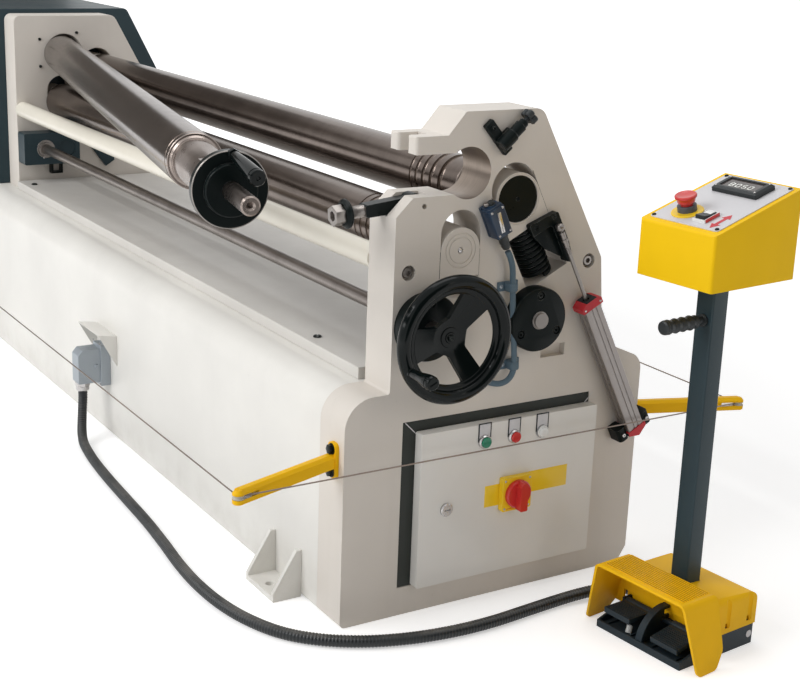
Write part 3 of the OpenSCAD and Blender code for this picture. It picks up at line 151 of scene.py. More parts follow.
def ramp(tree, value, low, high):
    """0 below low, 1 above high."""
    return add(tree, "MapRange", {"Value": value, "From Min": low, "From Max": high},
               interpolation_type="SMOOTHSTEP").outputs["Result"]


def noise(tree, vector, scale, detail=3.0, rough=0.55):
    return add(tree, "TexNoise", {"Vector": vector, "Scale": scale, "Detail": detail,
                                  "Roughness": rough}).outputs["Fac"]


def blended(tree, mask, a, b, mode="MIX"):
    mix = add(tree, "Mix", data_type="RGBA", blend_type=mode)
    for socket, value in ((mix.inputs[0], mask), (mix.inputs[6], a), (mix.inputs[7], b)):
        if isinstance(value, bpy.types.NodeSocket):
            tree.links.new(value, socket)
        else:
            socket.default_value = value
    return mix.outputs[2]


def scaled(tree, vector, scale):
    return add(tree, "Mapping", {"Vector": vector, "Scale": scale}).outputs["Vector"]


def effect(name, inputs, outputs):
    """An empty node group with its sockets; gives the group, its inputs and its output node."""
    group = bpy.data.node_groups.new(name, "ShaderNodeTree")
    for label, kind in inputs:
        group.interface.new_socket(label, in_out="INPUT", socket_type="NodeSocket" + kind)
    for label, kind in outputs:
        group.interface.new_socket(label, in_out="OUTPUT", socket_type="NodeSocket" + kind)
    entry = group.nodes.new("NodeGroupInput").outputs
    leave = group.nodes.new("NodeGroupOutput").inputs
    return group, entry, leave


def covered(group, entry, leave, mask, other):
    """Gives out the mask, and the colour blended by it with the group's other colour."""
    group.links.new(mask, leave["Mask"])
    group.links.new(blended(group, mask, entry["Colour"], entry[other]), leave["Colour"])
    return group


def make_soiling():
    """Handling marks, runs down upright faces and splash dirt close to the floor."""
    group, entry, leave = effect(
        "soiling",
        (("Vector", "Vector"), ("Colour", "Color"), ("Soil", "Color"), ("Amount", "Float"),
         ("Floor Dirt", "Float")),
        (("Colour", "Color"), ("Mask", "Float")))
    clouds = ramp(group, noise(group, entry["Vector"], 3.1, 6.0, 0.6), 0.50, 0.85)
    runs = ramp(group, noise(group, scaled(group, entry["Vector"], (21.0, 21.0, 1.3)), 1.0, 4.0),
                0.52, 0.80)
    specks = ramp(group, noise(group, entry["Vector"], 95.0, 2.0), 0.70, 0.78)
    marks = weighted(group, (clouds, 0.22), (runs, 0.5), (specks, 0.9))
    height = add(group, "SeparateXYZ", {"Vector": entry["Vector"]}).outputs["Z"]
    low = maths(group, "SUBTRACT", 1.0, ramp(group, height, 0.0, 0.13))
    low = maths(group, "MULTIPLY", low, ramp(group, noise(group, entry["Vector"], 17.0, 5.0), 0.3,
                                             0.75))
    mask = maths(group, "ADD", maths(group, "MULTIPLY", marks, entry["Amount"]),
                 maths(group, "MULTIPLY", low, entry["Floor Dirt"]), clamp=True)
    return covered(group, entry, leave, mask, "Soil")


def make_edge_wear():
    """Paint rubbed through along edges, broken up by noise."""
    group, entry, leave = effect(
        "edge_wear",
        (("Vector", "Vector"), ("Colour", "Color"), ("Bare", "Color"), ("Amount", "Float")),
        (("Colour", "Color"), ("Mask", "Float")))
    rounded_normal = add(group, "Bevel", {"Radius": 0.003}, samples=4).outputs["Normal"]
    plain_normal = add(group, "NewGeometry").outputs["True Normal"]
    alike = add(group, "VectorMath", {0: rounded_normal, 1: plain_normal},
                operation="DOT_PRODUCT").outputs["Value"]
    edge = ramp(group, maths(group, "SUBTRACT", 1.0, alike), 0.03, 0.22)
    broken = ramp(group, noise(group, entry["Vector"], 55.0, 5.0, 0.65), 0.42, 0.62)
    mask = maths(group, "MULTIPLY", maths(group, "MULTIPLY", edge, broken), entry["Amount"],
                 clamp=True)
    return covered(group, entry, leave, mask, "Bare")


def make_dust():
    """Dust that settles on what faces up."""
    group, entry, leave = effect(
        "settled_dust",
        (("Vector", "Vector"), ("Colour", "Color"), ("Dust", "Color"), ("Amount", "Float")),
        (("Colour", "Color"), ("Mask", "Float")))
    normal = add(group, "NewGeometry").outputs["Normal"]
    up = ramp(group, add(group, "SeparateXYZ", {"Vector": normal}).outputs["Z"], 0.45, 0.95)
    patches = ramp(group, noise(group, entry["Vector"], 9.0, 6.0, 0.65), 0.30, 0.72)
    mask = maths(group, "MULTIPLY", maths(group, "MULTIPLY", up, patches), entry["Amount"],
                 clamp=True)
    return covered(group, entry, leave, mask, "Dust")


def make_grain():
    """Height of a sprayed, cast or moulded surface."""
    group, entry, leave = effect(
        "surface_grain", (("Vector", "Vector"), ("Scale", "Float")), (("Height", "Float"),))
    coarse = noise(group, entry["Vector"], entry["Scale"], 3.0)
    fine = noise(group, entry["Vector"], maths(group, "MULTIPLY", entry["Scale"], 4.3), 2.0)
    height = maths(group, "ADD", coarse, maths(group, "MULTIPLY", fine, 0.35))
    group.links.new(height, leave["Height"])
    return group


def make_turned_marks():
    """Rings that a lathe or a plate leaves round the X axis, with lengthwise rubbing."""
    group, entry, leave = effect(
        "turned_marks",
        (("Vector", "Vector"), ("Colour", "Color"), ("Dark", "Color"), ("Depth", "Float")),
        (("Colour", "Color"), ("Mask", "Float"), ("Height", "Float")))
    rings = noise(group, scaled(group, entry["Vector"], (210.0, 2.5, 2.5)), 1.0, 4.0, 0.7)
    bands = ramp(group, noise(group, scaled(group, entry["Vector"], (17.0, 1.6, 1.6)), 1.0, 5.0),
                 0.36, 0.70)
    rubbed = ramp(group, noise(group, scaled(group, entry["Vector"], (1.1, 34.0, 34.0)), 1.0, 4.0),
                  0.40, 0.72)
    mottle = ramp(group, noise(group, entry["Vector"], 7.0, 6.0, 0.65), 0.38, 0.70)
    mask = weighted(group, (ramp(group, rings, 0.35, 0.68), 0.20), (bands, 0.16), (rubbed, 0.30),
                    (mottle, 0.30))
    mask = maths(group, "MULTIPLY", mask, entry["Depth"], clamp=True)
    group.links.new(rings, leave["Height"])
    return covered(group, entry, leave, mask, "Dark")


SOILING = make_soiling()
EDGE_WEAR = make_edge_wear()
DUST = make_dust()
GRAIN = make_grain()
TURNED_MARKS = make_turned_marks()

# ------------------------------------------------------------------ materials


def placed(tree, group, **inputs):
    """A node group in a material; a socket's name has _ for its spaces."""
    used = tree.nodes.new("ShaderNodeGroup")
    used.node_tree = group
    for key, value in inputs.items():
        socket = used.inputs[key.replace("_", " ")]
        if isinstance(value, bpy.types.NodeSocket):
            tree.links.new(value, socket)
        else:
            socket.default_value = value
    return used.outputs


def rgba(colour):
    return (*colour, 1.0)


def finish(name, colour, rough, soiled, soil, metal=0.0, tint=0.05, floor_dirt=0.0,
           bare=(0.30, 0.29, 0.28), worn=0.0, dust=0.0, grain=240.0, relief=0.06, coat=0.0,
           turned=None, dark=None, rough_spread=0.12, glow=0.0, gloss=0.35):
    """A material: colour variation, soiling, wear along edges, dust, and grain in its normals.
    turned is the matrix of the axis that lathe marks run round."""
    material = bpy.data.materials.new(name)
    material.use_nodes = True
    tree = material.node_tree
    shader = tree.nodes["Principled BSDF"]
    place = add(tree, "TexCoord").outputs["Object"]
    lighter = rgba([min(1.0, c * (1 + tint)) for c in colour])
    darker = rgba([c * (1 - tint) for c in colour])
    shade = blended(tree, ramp(tree, noise(tree, place, 2.3, 5.0), 0.3, 0.7), lighter, darker)
    height = placed(tree, GRAIN, Vector=place, Scale=grain)["Height"]
    if turned is not None:
        # the marks' own frame: the axis runs along X through the origin
        inverse = turned.inverted()
        place_on_axis = add(tree, "Mapping", {
            "Vector": place, "Location": inverse.to_translation(),
            "Rotation": inverse.to_euler()}, vector_type="POINT").outputs["Vector"]
        marks = placed(tree, TURNED_MARKS, Vector=place_on_axis, Colour=shade, Dark=rgba(dark),
                       Depth=1.0)
        shade, height = marks["Colour"], marks["Height"]
    dirt = placed(tree, SOILING, Vector=place, Colour=shade, Soil=rgba(soil), Amount=soiled,
                  Floor_Dirt=floor_dirt)
    shade = dirt["Colour"]
    if worn:
        shade = placed(tree, EDGE_WEAR, Vector=place, Colour=shade, Bare=rgba(bare),
                       Amount=worn)["Colour"]
    if dust:
        shade = placed(tree, DUST, Vector=place, Colour=shade, Dust=rgba((0.42, 0.39, 0.35)),
                       Amount=dust)["Colour"]
    tree.links.new(shade, shader.inputs["Base Color"])
    spread = maths(tree, "MULTIPLY", noise(tree, place, 31.0, 4.0), rough_spread)
    roughness = maths(tree, "ADD", spread, rough - rough_spread / 2)
    roughness = maths(tree, "ADD", roughness, maths(tree, "MULTIPLY", dirt["Mask"], 0.25),
                      clamp=True)
    tree.links.new(roughness, shader.inputs["Roughness"])
    shader.inputs["Metallic"].default_value = metal
    shader.inputs["Specular IOR Level"].default_value = gloss
    shader.inputs["Coat Weight"].default_value = coat
    shader.inputs["Coat Roughness"].default_value = 0.12
    bump = add(tree, "Bump", {"Strength": relief, "Distance": 0.001, "Height": height})
    tree.links.new(bump.outputs["Normal"], shader.inputs["Normal"])
    if glow:
        tree.links.new(shade, shader.inputs["Emission Color"])
        shader.inputs["Emission Strength"].default_value = glow
    return material


# colour, roughness, how soiled, colour of the soil, and what else differs
FINISHES = {
    "cream_paint": ((0.79, 0.775, 0.735), 0.42, 0.07, (0.42, 0.38, 0.32),
        dict(floor_dirt=0.22, worn=0.35, bare=(0.50, 0.46, 0.41), coat=0.15)),
    # a darker, warmer copy of cream_paint for the frames and bearing blocks: painted shade
    "cream_paint_painted_shade": ((0.71, 0.665, 0.61), 0.46, 0.12, (0.40, 0.36, 0.30),
        dict(grain=330.0, worn=0.4, bare=(0.45, 0.41, 0.36), relief=0.10)),
    "deck_paint": ((0.66, 0.64, 0.605), 0.50, 0.12, (0.40, 0.36, 0.31),
        dict(dust=0.10, worn=0.5, bare=(0.38, 0.34, 0.30))),
    "door_paint": ((0.80, 0.785, 0.75), 0.36, 0.06, (0.45, 0.41, 0.35),
        dict(worn=0.2, bare=(0.55, 0.52, 0.47), coat=0.3)),
    "cream_tube": ((0.81, 0.77, 0.67), 0.35, 0.10, (0.45, 0.38, 0.26), dict(coat=0.2)),
    "grey_paint": ((0.022, 0.042, 0.052), 0.38, 0.10, (0.13, 0.13, 0.12),
        dict(tint=0.10, gloss=0.25, worn=0.4, bare=(0.16, 0.17, 0.17), dust=0.06)),
    "yellow_paint": ((0.92, 0.52, 0.005), 0.42, 0.07, (0.42, 0.25, 0.03),
        dict(gloss=0.14, worn=0.3, bare=(0.55, 0.36, 0.06), floor_dirt=0.25)),
    "console_paint": ((0.96, 0.59, 0.006), 0.46, 0.05, (0.45, 0.27, 0.03),
        dict(grain=420.0, gloss=0.12, worn=0.25, bare=(0.60, 0.40, 0.08), relief=0.12)),
    "black_steel": ((0.0045, 0.008, 0.008), 0.30, 0.05, (0.03, 0.03, 0.027),
        dict(tint=0.15, gloss=0.11, worn=0.6, bare=(0.22, 0.23, 0.22), dust=0.02)),
    "gloss_black": ((0.0035, 0.006, 0.006), 0.12, 0.03, (0.015, 0.017, 0.015),
        dict(tint=0.1, gloss=0.15, rough_spread=0.05, relief=0.015)),
    "black_plastic": ((0.016, 0.020, 0.022), 0.42, 0.10, (0.07, 0.07, 0.065),
        dict(tint=0.1, floor_dirt=0.2, grain=600.0, relief=0.12)),
    "pedal_plastic": ((0.010, 0.020, 0.028), 0.46, 0.12, (0.05, 0.055, 0.055),
        dict(tint=0.1, dust=0.05, floor_dirt=0.12, grain=520.0, relief=0.14, gloss=0.22)),
    "shaft_steel": ((0.30, 0.27, 0.25), 0.32, 0.14, (0.09, 0.075, 0.06),
        dict(metal=1.0, turned=shift(0, *SHAFT_AXIS), dark=(0.13, 0.11, 0.10))),
    "bare_steel": ((0.34, 0.285, 0.24), 0.36, 0.12, (0.12, 0.09, 0.07),
        dict(metal=1.0, turned=shift(0, -105, 889), dark=(0.16, 0.13, 0.11))),
    "neck_steel": ((0.31, 0.265, 0.24), 0.28, 0.10, (0.12, 0.10, 0.08),
        dict(metal=1.0, turned=TOP_ROLL, dark=(0.17, 0.14, 0.125), relief=0.02)),
    "dull_steel": ((0.25, 0.23, 0.215), 0.34, 0.16, (0.10, 0.085, 0.075),
        dict(metal=0.9, tint=0.12, worn=0.5, bare=(0.50, 0.47, 0.45))),
    "bright_steel": ((0.52, 0.505, 0.50), 0.27, 0.10, (0.20, 0.18, 0.16),
        dict(metal=1.0, tint=0.08, relief=0.04)),
    "zinc": ((0.37, 0.41, 0.45), 0.42, 0.16, (0.20, 0.20, 0.20),
        dict(metal=0.6, tint=0.10, worn=0.4, bare=(0.55, 0.57, 0.60), relief=0.12)),
    "extrusion": ((0.30, 0.275, 0.265), 0.36, 0.08, (0.20, 0.18, 0.16),
        dict(metal=0.6, worn=0.4, bare=(0.6, 0.58, 0.56))),
    "blue_plastic": ((0.014, 0.036, 0.075), 0.36, 0.12, (0.09, 0.11, 0.13),
        dict(tint=0.1, worn=0.5, bare=(0.10, 0.16, 0.22), coat=0.2)),
    "cable_grey": ((0.085, 0.135, 0.175), 0.46, 0.16, (0.10, 0.12, 0.13),
        dict(tint=0.08, relief=0.08)),
    "conduit_black": ((0.010, 0.013, 0.015), 0.34, 0.12, (0.05, 0.05, 0.045),
        dict(tint=0.1, dust=0.22, coat=0.15)),
    "wire_steel": ((0.26, 0.21, 0.18), 0.42, 0.2, (0.10, 0.07, 0.05), dict(metal=0.8, tint=0.2)),
    "red_plastic": ((0.62, 0.030, 0.026), 0.30, 0.06, (0.25, 0.02, 0.02), dict(coat=0.3)),
    "red_paint": ((0.56, 0.022, 0.035), 0.38, 0.10, (0.20, 0.03, 0.03),
        dict(worn=0.4, bare=(0.62, 0.20, 0.18))),
    "green_plastic": ((0.010, 0.22, 0.12), 0.28, 0.05, (0.02, 0.09, 0.06), dict(coat=0.3)),
    "white_plastic": ((0.84, 0.85, 0.84), 0.26, 0.05, (0.5, 0.5, 0.48), dict(coat=0.3)),
    "yellow_plastic": ((0.93, 0.62, 0.016), 0.36, 0.06, (0.45, 0.28, 0.03), dict(coat=0.15)),
    "face_plate": ((0.66, 0.655, 0.675), 0.38, 0.10, (0.40, 0.39, 0.38),
        dict(tint=0.03, worn=0.3, bare=(0.5, 0.5, 0.5), relief=0.04)),
    "cabinet_steel": ((0.50, 0.48, 0.45), 0.46, 0.25, (0.20, 0.18, 0.15), dict()),
    # near-black for the gaps round the bearing blocks and the bore of the transducer body: painted
    # shade
    "painted_gap_shade": ((0.012, 0.012, 0.013), 0.75, 0.1, (0.03, 0.028, 0.025), dict(tint=0.2)),
    "seal_rubber": ((0.020, 0.024, 0.020), 0.55, 0.14, (0.06, 0.06, 0.05),
        dict(tint=0.15, worn=0.3, bare=(0.08, 0.085, 0.075))),
    "collar_grey": ((0.085, 0.09, 0.10), 0.40, 0.08, (0.05, 0.05, 0.05),
        dict(relief=0.08, gloss=0.25)),
    # a darker copy of the yellow paint for the guard's grooves: painted shade
    "groove_shade": ((0.30, 0.14, 0.004), 0.60, 0.2, (0.12, 0.07, 0.02), dict(gloss=0.1)),
    "grey_plastic": ((0.30, 0.31, 0.32), 0.42, 0.08, (0.15, 0.15, 0.15), dict(relief=0.08)),
    "window_brown": ((0.055, 0.040, 0.036), 0.14, 0.06, (0.10, 0.08, 0.07),
        dict(tint=0.15, coat=0.5, relief=0.02, rough_spread=0.05)),
    "digit_white": ((0.82, 0.84, 0.80), 0.40, 0.02, (0.5, 0.5, 0.5), dict(tint=0.02, glow=0.25)),
    "sheave_plastic": ((0.55, 0.52, 0.45), 0.40, 0.15, (0.25, 0.20, 0.15), dict()),
}
MATERIALS = {name: finish(name, *look, **more) for name, (*look, more) in FINISHES.items()}
for name, axis in (("top_roll_steel", TOP_ROLL),
                   ("front_roll_steel", shift(0, *FRONT_AXIS)),
                   ("rear_roll_steel", shift(0, *REAR_AXIS))):
    MATERIALS[name] = finish(name, (0.205, 0.168, 0.147), 0.22, 0.06, (0.08, 0.06, 0.045),
                             metal=1.0, turned=axis, dark=(0.082, 0.063, 0.053),
                             rough_spread=0.08, relief=0.03)

# ------------------------------------------------------------------ modelling by operators


def deselect():
    bpy.ops.object.select_all(action="DESELECT")


def only(piece):
    deselect()
    piece.select_set(True)
    bpy.context.view_layer.objects.active = piece


def applied(piece):
    only(piece)
    bpy.ops.object.transform_apply(location=True, rotation=True, scale=True)
    return piece


def modified(piece, kind, **settings):
    only(piece)
    modifier = piece.modifiers.new("shape", kind)
    for key, value in settings.items():
        setattr(modifier, key, value)
    bpy.ops.object.modifier_apply(modifier=modifier.name)
    return piece


def bevelled(piece, width, segments=2, angle=35, harden=False):
    return modified(piece, "BEVEL", width=width * MM, segments=segments, limit_method="ANGLE",
                    angle_limit=math.radians(angle), harden_normals=harden)


def carved(piece, cutter):
    modified(piece, "BOOLEAN", operation="DIFFERENCE", object=cutter, solver="EXACT")
    bpy.data.objects.remove(cutter)
    return piece


def joined(pieces):
    deselect()
    for piece in pieces:
        piece.select_set(True)
    bpy.context.view_layer.objects.active = pieces[0]
    bpy.ops.object.join()
    return pieces[0]


def edit_all():
    """Edit mode with the whole mesh selected."""
    bpy.ops.object.mode_set(mode="EDIT")
    bpy.ops.mesh.select_all(action="SELECT")


def faces_outward():
    """Turns the faces of the mesh in edit mode outward and leaves edit mode."""
    bpy.ops.mesh.select_all(action="SELECT")
    bpy.ops.mesh.normals_make_consistent(inside=False)
    bpy.ops.object.mode_set(mode="OBJECT")


def block(low, high, bevel=0.0, segments=2):
    """A bevelled block between two corners in millimetres."""
    low, high = Vector(low) * MM, Vector(high) * MM
    deselect()
    bpy.ops.mesh.primitive_cube_add(size=1, location=(low + high) / 2)
    piece = bpy.context.object
    piece.scale = high - low
    applied(piece)
    return bevelled(piece, bevel, segments) if bevel else piece


def turned(profile, sides=32):
    """A closed turned form round local z; each point of the profile is height and radius."""
    height, radius = profile[0]
    deselect()
    bpy.ops.mesh.primitive_circle_add(vertices=sides, radius=radius * MM, fill_type="NGON",
                                      location=(0, 0, height * MM))
    piece = applied(bpy.context.object)
    edit_all()
    for z, r in profile[1:]:
        bpy.ops.mesh.extrude_region_move(
            TRANSFORM_OT_translate={"value": (0, 0, (z - height) * MM)})
        bpy.ops.transform.resize(value=(r / radius, r / radius, 1),
                                 center_override=(0, 0, z * MM))
        height, radius = z, r
    faces_outward()
    return piece


def hexagon(across, low, high):
    """A hexagonal prism along local z."""
    deselect()
    bpy.ops.mesh.primitive_cylinder_add(vertices=6, radius=across / math.sqrt(3) * MM,
                                        depth=(high - low) * MM,
                                        location=(0, 0, (low + high) / 2 * MM))
    return applied(bpy.context.object)


def coil(radius, wire, length, turns, sides=10, steps=28):
    """A round-wire spring that stands on local z = 0."""
    pitch = (length - wire) / turns
    deselect()
    bpy.ops.mesh.primitive_circle_add(vertices=sides, radius=wire / 2 * MM,
                                      location=(radius * MM, 0, wire / 2 * MM),
                                      rotation=(math.pi / 2, 0, 0))
    piece = applied(bpy.context.object)
    modified(piece, "SCREW", axis="Z", screw_offset=pitch * MM, iterations=turns, steps=steps,
             render_steps=steps, use_smooth_shade=True)
    edit_all()
    bpy.ops.mesh.fill_holes(sides=sides)
    faces_outward()
    return piece


def smoothed(piece, angle=32):
    only(piece)
    bpy.ops.object.shade_smooth_by_angle(angle=math.radians(angle))
    return piece


def settled(piece, name, body, material, where=None, slot=None, node=None, angle=32):
    """Gives a finished piece its place, name, material and body, and hides the CAD node that the
    piece stands for; slot is not used."""
    applied(piece)
    if where is not None:
        piece.data.transform(where)
    piece.name = piece.data.name = name
    piece.data.materials.clear()
    piece.data.materials.append(MATERIALS[material])
    smoothed(piece, angle)
    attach(piece, body)
    if node:
        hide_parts(node)
    return piece


def copies(master, name, body, material, places, slot=None):
    """One copy of the master, with its own mesh, at each place; the master is used up."""
    made = []
    for i, where in enumerate(places):
        made.append(settled(added(name, master.data.copy()), f"{name}_{i + 1}", body, material,
                            where, slot))
    bpy.data.objects.remove(master)
    return made


# ------------------------------------------------------------------ CAD nodes, dressed


def painted(piece, material, belongs):
    """Gives the faces whose middle passes the test another material."""
    piece.data.materials.append(MATERIALS[material])
    index = len(piece.data.materials) - 1
    for face in piece.data.polygons:
        if belongs(face.center / MM):
            face.material_index = index


def dressed(node, material, bevel=0.0, segments=2, angle=40, parts=(), where=None, smooth=32):
    """A copy of a CAD node with softened edges; parts are (material, test of a place in mm)."""
    piece = added(node + "_finish", NODES[node].data.copy())
    only(piece)
    edit_all()
    bpy.ops.mesh.customdata_custom_splitnormals_clear()
    bpy.ops.mesh.remove_doubles(threshold=0.00001)
    bpy.ops.mesh.dissolve_limited(angle_limit=math.radians(0.6))
    bpy.ops.object.mode_set(mode="OBJECT")
    piece.data.materials.clear()
    piece.data.materials.append(MATERIALS[material])
    inverse = where.inverted() if where is not None else None
    for other, belongs in parts:
        if inverse is None:
            painted(piece, other, belongs)
        else:
            painted(piece, other, lambda p, test=belongs: test(inverse @ (p * MM) / MM))
    smoothed(piece, smooth)
    if bevel:
        bevelled(piece, bevel, segments, angle, harden=True)
    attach(piece, BODY_OF[node])
    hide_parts(node)
    return piece


def trimmed(piece, place, away):
    """Cuts off what lies beyond the plane through the place and closes the cut."""
    only(piece)
    edit_all()
    bpy.ops.mesh.bisect(plane_co=place, plane_no=Vector(away).normalized(), use_fill=True,
                        clear_outer=True)
    bpy.ops.object.mode_set(mode="OBJECT")
    return piece


def kept(node, material):
    """A CAD node whose shape stays as it is."""
    piece = NODES[node]
    piece.data.materials.clear()
    piece.data.materials.append(MATERIALS[material])


def off_axis(p, axis):
    return math.hypot(p.y - axis[0], p.z - axis[1])


def round_z(p):
    return math.hypot(p.x, p.y)


TOP_AXIS = (-105.0, 889.0)
FLANGE_BACK, FLANGE_FRONT = 2347.5, 2367.5        # along the top roll

for node, material in (
        ("tie_tube", "cream_tube"), ("cabinet_box", "cabinet_steel"), ("trip_wire", "wire_steel"),
        ("trip_wire_end", "wire_steel"), ("swivel_bearing", "bright_steel"),
        ("transducer_rod", "dull_steel"),
        ("adjusting_shaft", "shaft_steel"), ("column_grip", "black_plastic"),
        ("start_button", "green_plastic"), ("stop_button", "red_plastic"),
        ("wheel_grip", "gloss_black")):
    kept(node, material)

for node, material, bevel in (
        ("base_shell", "cream_paint", 1.2), ("anchor_feet", "cream_paint", 1.2),
        ("deck_plate", "deck_paint", 2.0),
        # left_frame here and the bearing blocks below take the darker copy of the cream paint:
        # painted shade
        ("left_frame", "cream_paint_painted_shade", 1.6), ("gear_cover", "grey_paint", 3.0),
        ("shaft_flange", "black_steel", 0.6),
        ("connector_cover", "cream_paint", 0.5), ("connector_plug", "zinc", 1.0),
        ("hose_gland", "bright_steel", 0.5), ("pedal_base", "pedal_plastic", 0.6),
        ("pedal_guard", "yellow_paint", 0.3), ("pedal_left", "pedal_plastic", 0.4),
        ("pedal_right", "pedal_plastic", 0.4), ("rear_cover", "yellow_paint", 1.0),
        ("column", "grey_paint", 0.6), ("console_box", "console_paint", 1.6),
        ("front_bearing_blocks", "cream_paint_painted_shade", 0.6),
        ("rear_bearing_blocks", "cream_paint_painted_shade", 0.6), ("spring_bracket", "black_steel", 1.0),
        ("handwheel", "gloss_black", 1.2), ("plunger_knob", "black_plastic", 0.6),
        ("switch_plate", "yellow_plastic", 1.0), ("switch_handle", "red_plastic", 0.8),
        ("door_lock", "bright_steel", 0.4), ("estop_button", "red_plastic", 0.4),
        ("rocker_switch", "black_plastic", 0.6)):
    dressed(node, material, bevel)

# the end plate in the darker copy of the cream paint: painted shade
dressed("right_frame", "cream_paint_painted_shade", 1.4, parts=(
    ("bare_steel", lambda p: off_axis(p, TOP_AXIS) < 50.3 and 1300 < p.x < 1401),))
dressed("adjusting_hub", "black_steel", 0.6, parts=(
    ("dull_steel", lambda p: p.x > 1430.1 and off_axis(p, HUB_AXIS) < 18.5),))
dressed("left_gear_block", "grey_paint", 1.2, parts=(
    ("dull_steel", lambda p: p.x > -807.9 and off_axis(p, SHAFT_AXIS) < 29),))
dressed("bush_flange", "black_steel", 0.6, where=TOP_ROLL, parts=(
    ("neck_steel", lambda p: p.x < FLANGE_BACK - 0.3),
    ("dull_steel", lambda p: FLANGE_FRONT - 2 < p.x < FLANGE_FRONT - 0.2 and p.yz.length > 66)))
dressed("limit_switch", "blue_plastic", 0.8, where=SWITCH, parts=(
    ("black_plastic", lambda p: p.z < -33 or p.z > 34.9),))
dressed("transducer_body", "extrusion", 0.5, where=TRANSDUCER, parts=(
    ("black_steel", lambda p: p.z < -480 and abs(p.y) > 20.3),
    ("red_paint", lambda p: p.z > -190.5 or (p.z < -499.5 and abs(p.y) < 20.4)),
    # the bore round the rod in near-black: painted shade
    ("painted_gap_shade", lambda p: math.hypot(p.x, p.y) < 7.2 and p.z > -325)))
dressed("trip_arms", "yellow_paint", 0.8, parts=(
    ("bright_steel",
     lambda p: math.hypot(abs(p.x) - ARM_X, abs(p.y) - ARM_Y) < 6.3
     and abs(p.z - WIRE_Z) < 4.5),))
# the hexagon nut of the swing bolt is modelled on its own
trimmed(dressed("swing_bolt", "black_steel", 0.6, where=SWING_BOLT, parts=(
    ("dull_steel", lambda p: 106 < p.z < 137.9 and round_z(p) < 11.2),)),
    SWING_BOLT @ Vector((0, 0, 0.150)), SWING_BOLT.to_3x3() @ Vector((0, 0, 1)))
dressed("cabinet_door", "door_paint", 1.6, parts=(
    ("bright_steel", lambda p: p.x > DOOR_FACE + 0.1),))
dressed("power_lamp", "white_plastic", 0.3, parts=(
    ("grey_plastic", lambda p: p.x < DOOR_FACE + 4.9),))
dressed("console_face", "face_plate", 0.4, where=CONSOLE, parts=(
    ("white_plastic", lambda p: p.z > 2.1),))
dressed("display", "black_plastic", 0.5, where=CONSOLE,
        parts=(("window_brown", lambda p: 11.3 < p.z < 11.7 and abs(p.x) < 40
        and abs(p.y - DISPLAY_Y) < 17),))
dressed("estop_base", "yellow_plastic", 0.4, where=CONSOLE, parts=(
    ("collar_grey", lambda p: p.z > 5.1),))

# ------------------------------------------------------------------ rolls

ROLL_R = 55.0
ROLL_SIDES, ROLL_SMOOTH = 72, 24
GROOVES = ((0, 8), (22, 10), (47, 12), (76, 14), (109, 17))     # place from the first, width
FIRST_GROOVE = 1087.0


def groove_points(start, width):
    """Half-round groove in a roll, as steps of height and radius."""
    middle, half = start + width / 2, width / 2
    return [[middle - half * math.cos(math.pi * i / 8), ROLL_R - half * math.sin(math.pi * i / 8)]
            for i in range(9)]


def make_lower_roll(node, material, axis, end):
    """Body with its grooves, a turned-down end at the operator's frame, and both journals."""
    profile = [[-961, 29], [-960, 30], [-860, 30], [-860, 51], [-856, ROLL_R]]
    for start, width in GROOVES:
        profile += groove_points(FIRST_GROOVE + start, width)
    profile += [[1260, ROLL_R], [1262, 53.5], [1263, 50], [1290, 44], [1292, 42], [1292, 30]] + end
    piece = settled(turned(profile, ROLL_SIDES), node + "_turned", node, material,
                    shift(0, *axis) @ turn(90, "Y"), node=node, angle=ROLL_SMOOTH)
    painted(piece, "neck_steel", lambda p: 1260 < p.x < 1263.1)
    painted(piece, "black_steel", lambda p: p.x > 1392.4)


def make_top_roll():
    """Body, shoulder rings, wide neck, journal in the bush and the drive stub."""
    profile = [[-38, 30], [67.5, 30], [67.5, 51], [71.5, ROLL_R], [2056, ROLL_R],
               [2057.5, 53.6], [2059.5, 53.6], [2061, 54.6], [2076, 54.6], [2077.5, 53.2],
               [2077.5, 50], [2080, 48], [2082, 46.4], [2085, 46], [2086, 44.4], [2092, 43.5],
               [2150, 43.5], [2152, 42.9], [2254.5, 42.9], [2256.5, 41.5], [2256.5, 25],
               [2373, 25], [2373, 17], [2509.5, 17], [2512.5, 14], [2512.5, 8], [2509, 4],
               [2499, 3.8]]
    piece = settled(turned(profile, ROLL_SIDES), "top_roll_turned", "top_roll", "top_roll_steel",
                    TOP_ROLL @ turn(90, "Y"), node="top_roll", angle=ROLL_SMOOTH)
    inverse = TOP_ROLL.inverted()
    painted(piece, "neck_steel", lambda p: (inverse @ (p * MM)).x / MM > 2076.5)


def make_pull_handle():
    """Tapered grip that leans inward from the rim of the bush's flange."""
    foot, lean = (FLANGE_FRONT, 4, 62.5), Vector((125, 14, -22))
    place = TOP_ROLL @ shift(*foot) @ lean.to_track_quat("Z", "Y").to_matrix().to_4x4()
    grip = turned([[-4, 6], [9, 6], [9, 8], [14, 9], [60, 12.4], [110, 14.6], [113, 14.6],
                   [113.5, 13.6], [115.5, 13.6], [116, 14.8], [123, 14.4], [125.5, 12.4],
                   [125.5, 4], [123.5, 2.6]], 40)
    nut = bevelled(hexagon(19, -1.5, 7), 0.8)
    settled(joined([grip, nut]), "pull_handle_grip", "bush", "gloss_black", place,
            node="pull_handle")


make_lower_roll("front_roll", "front_roll_steel", FRONT_AXIS, [[1389.5, 30], [1390, 29.5]])
make_lower_roll("rear_roll", "rear_roll_steel", REAR_AXIS, [
    [1392.5, 30], [1392.5, 46], [1398.5, 46], [1399.5, 45], [1399.5, 4.5], [1397.5, 3],
    [1397, 1.5]])
make_top_roll()
make_pull_handle()

# ------------------------------------------------------------------ conduit

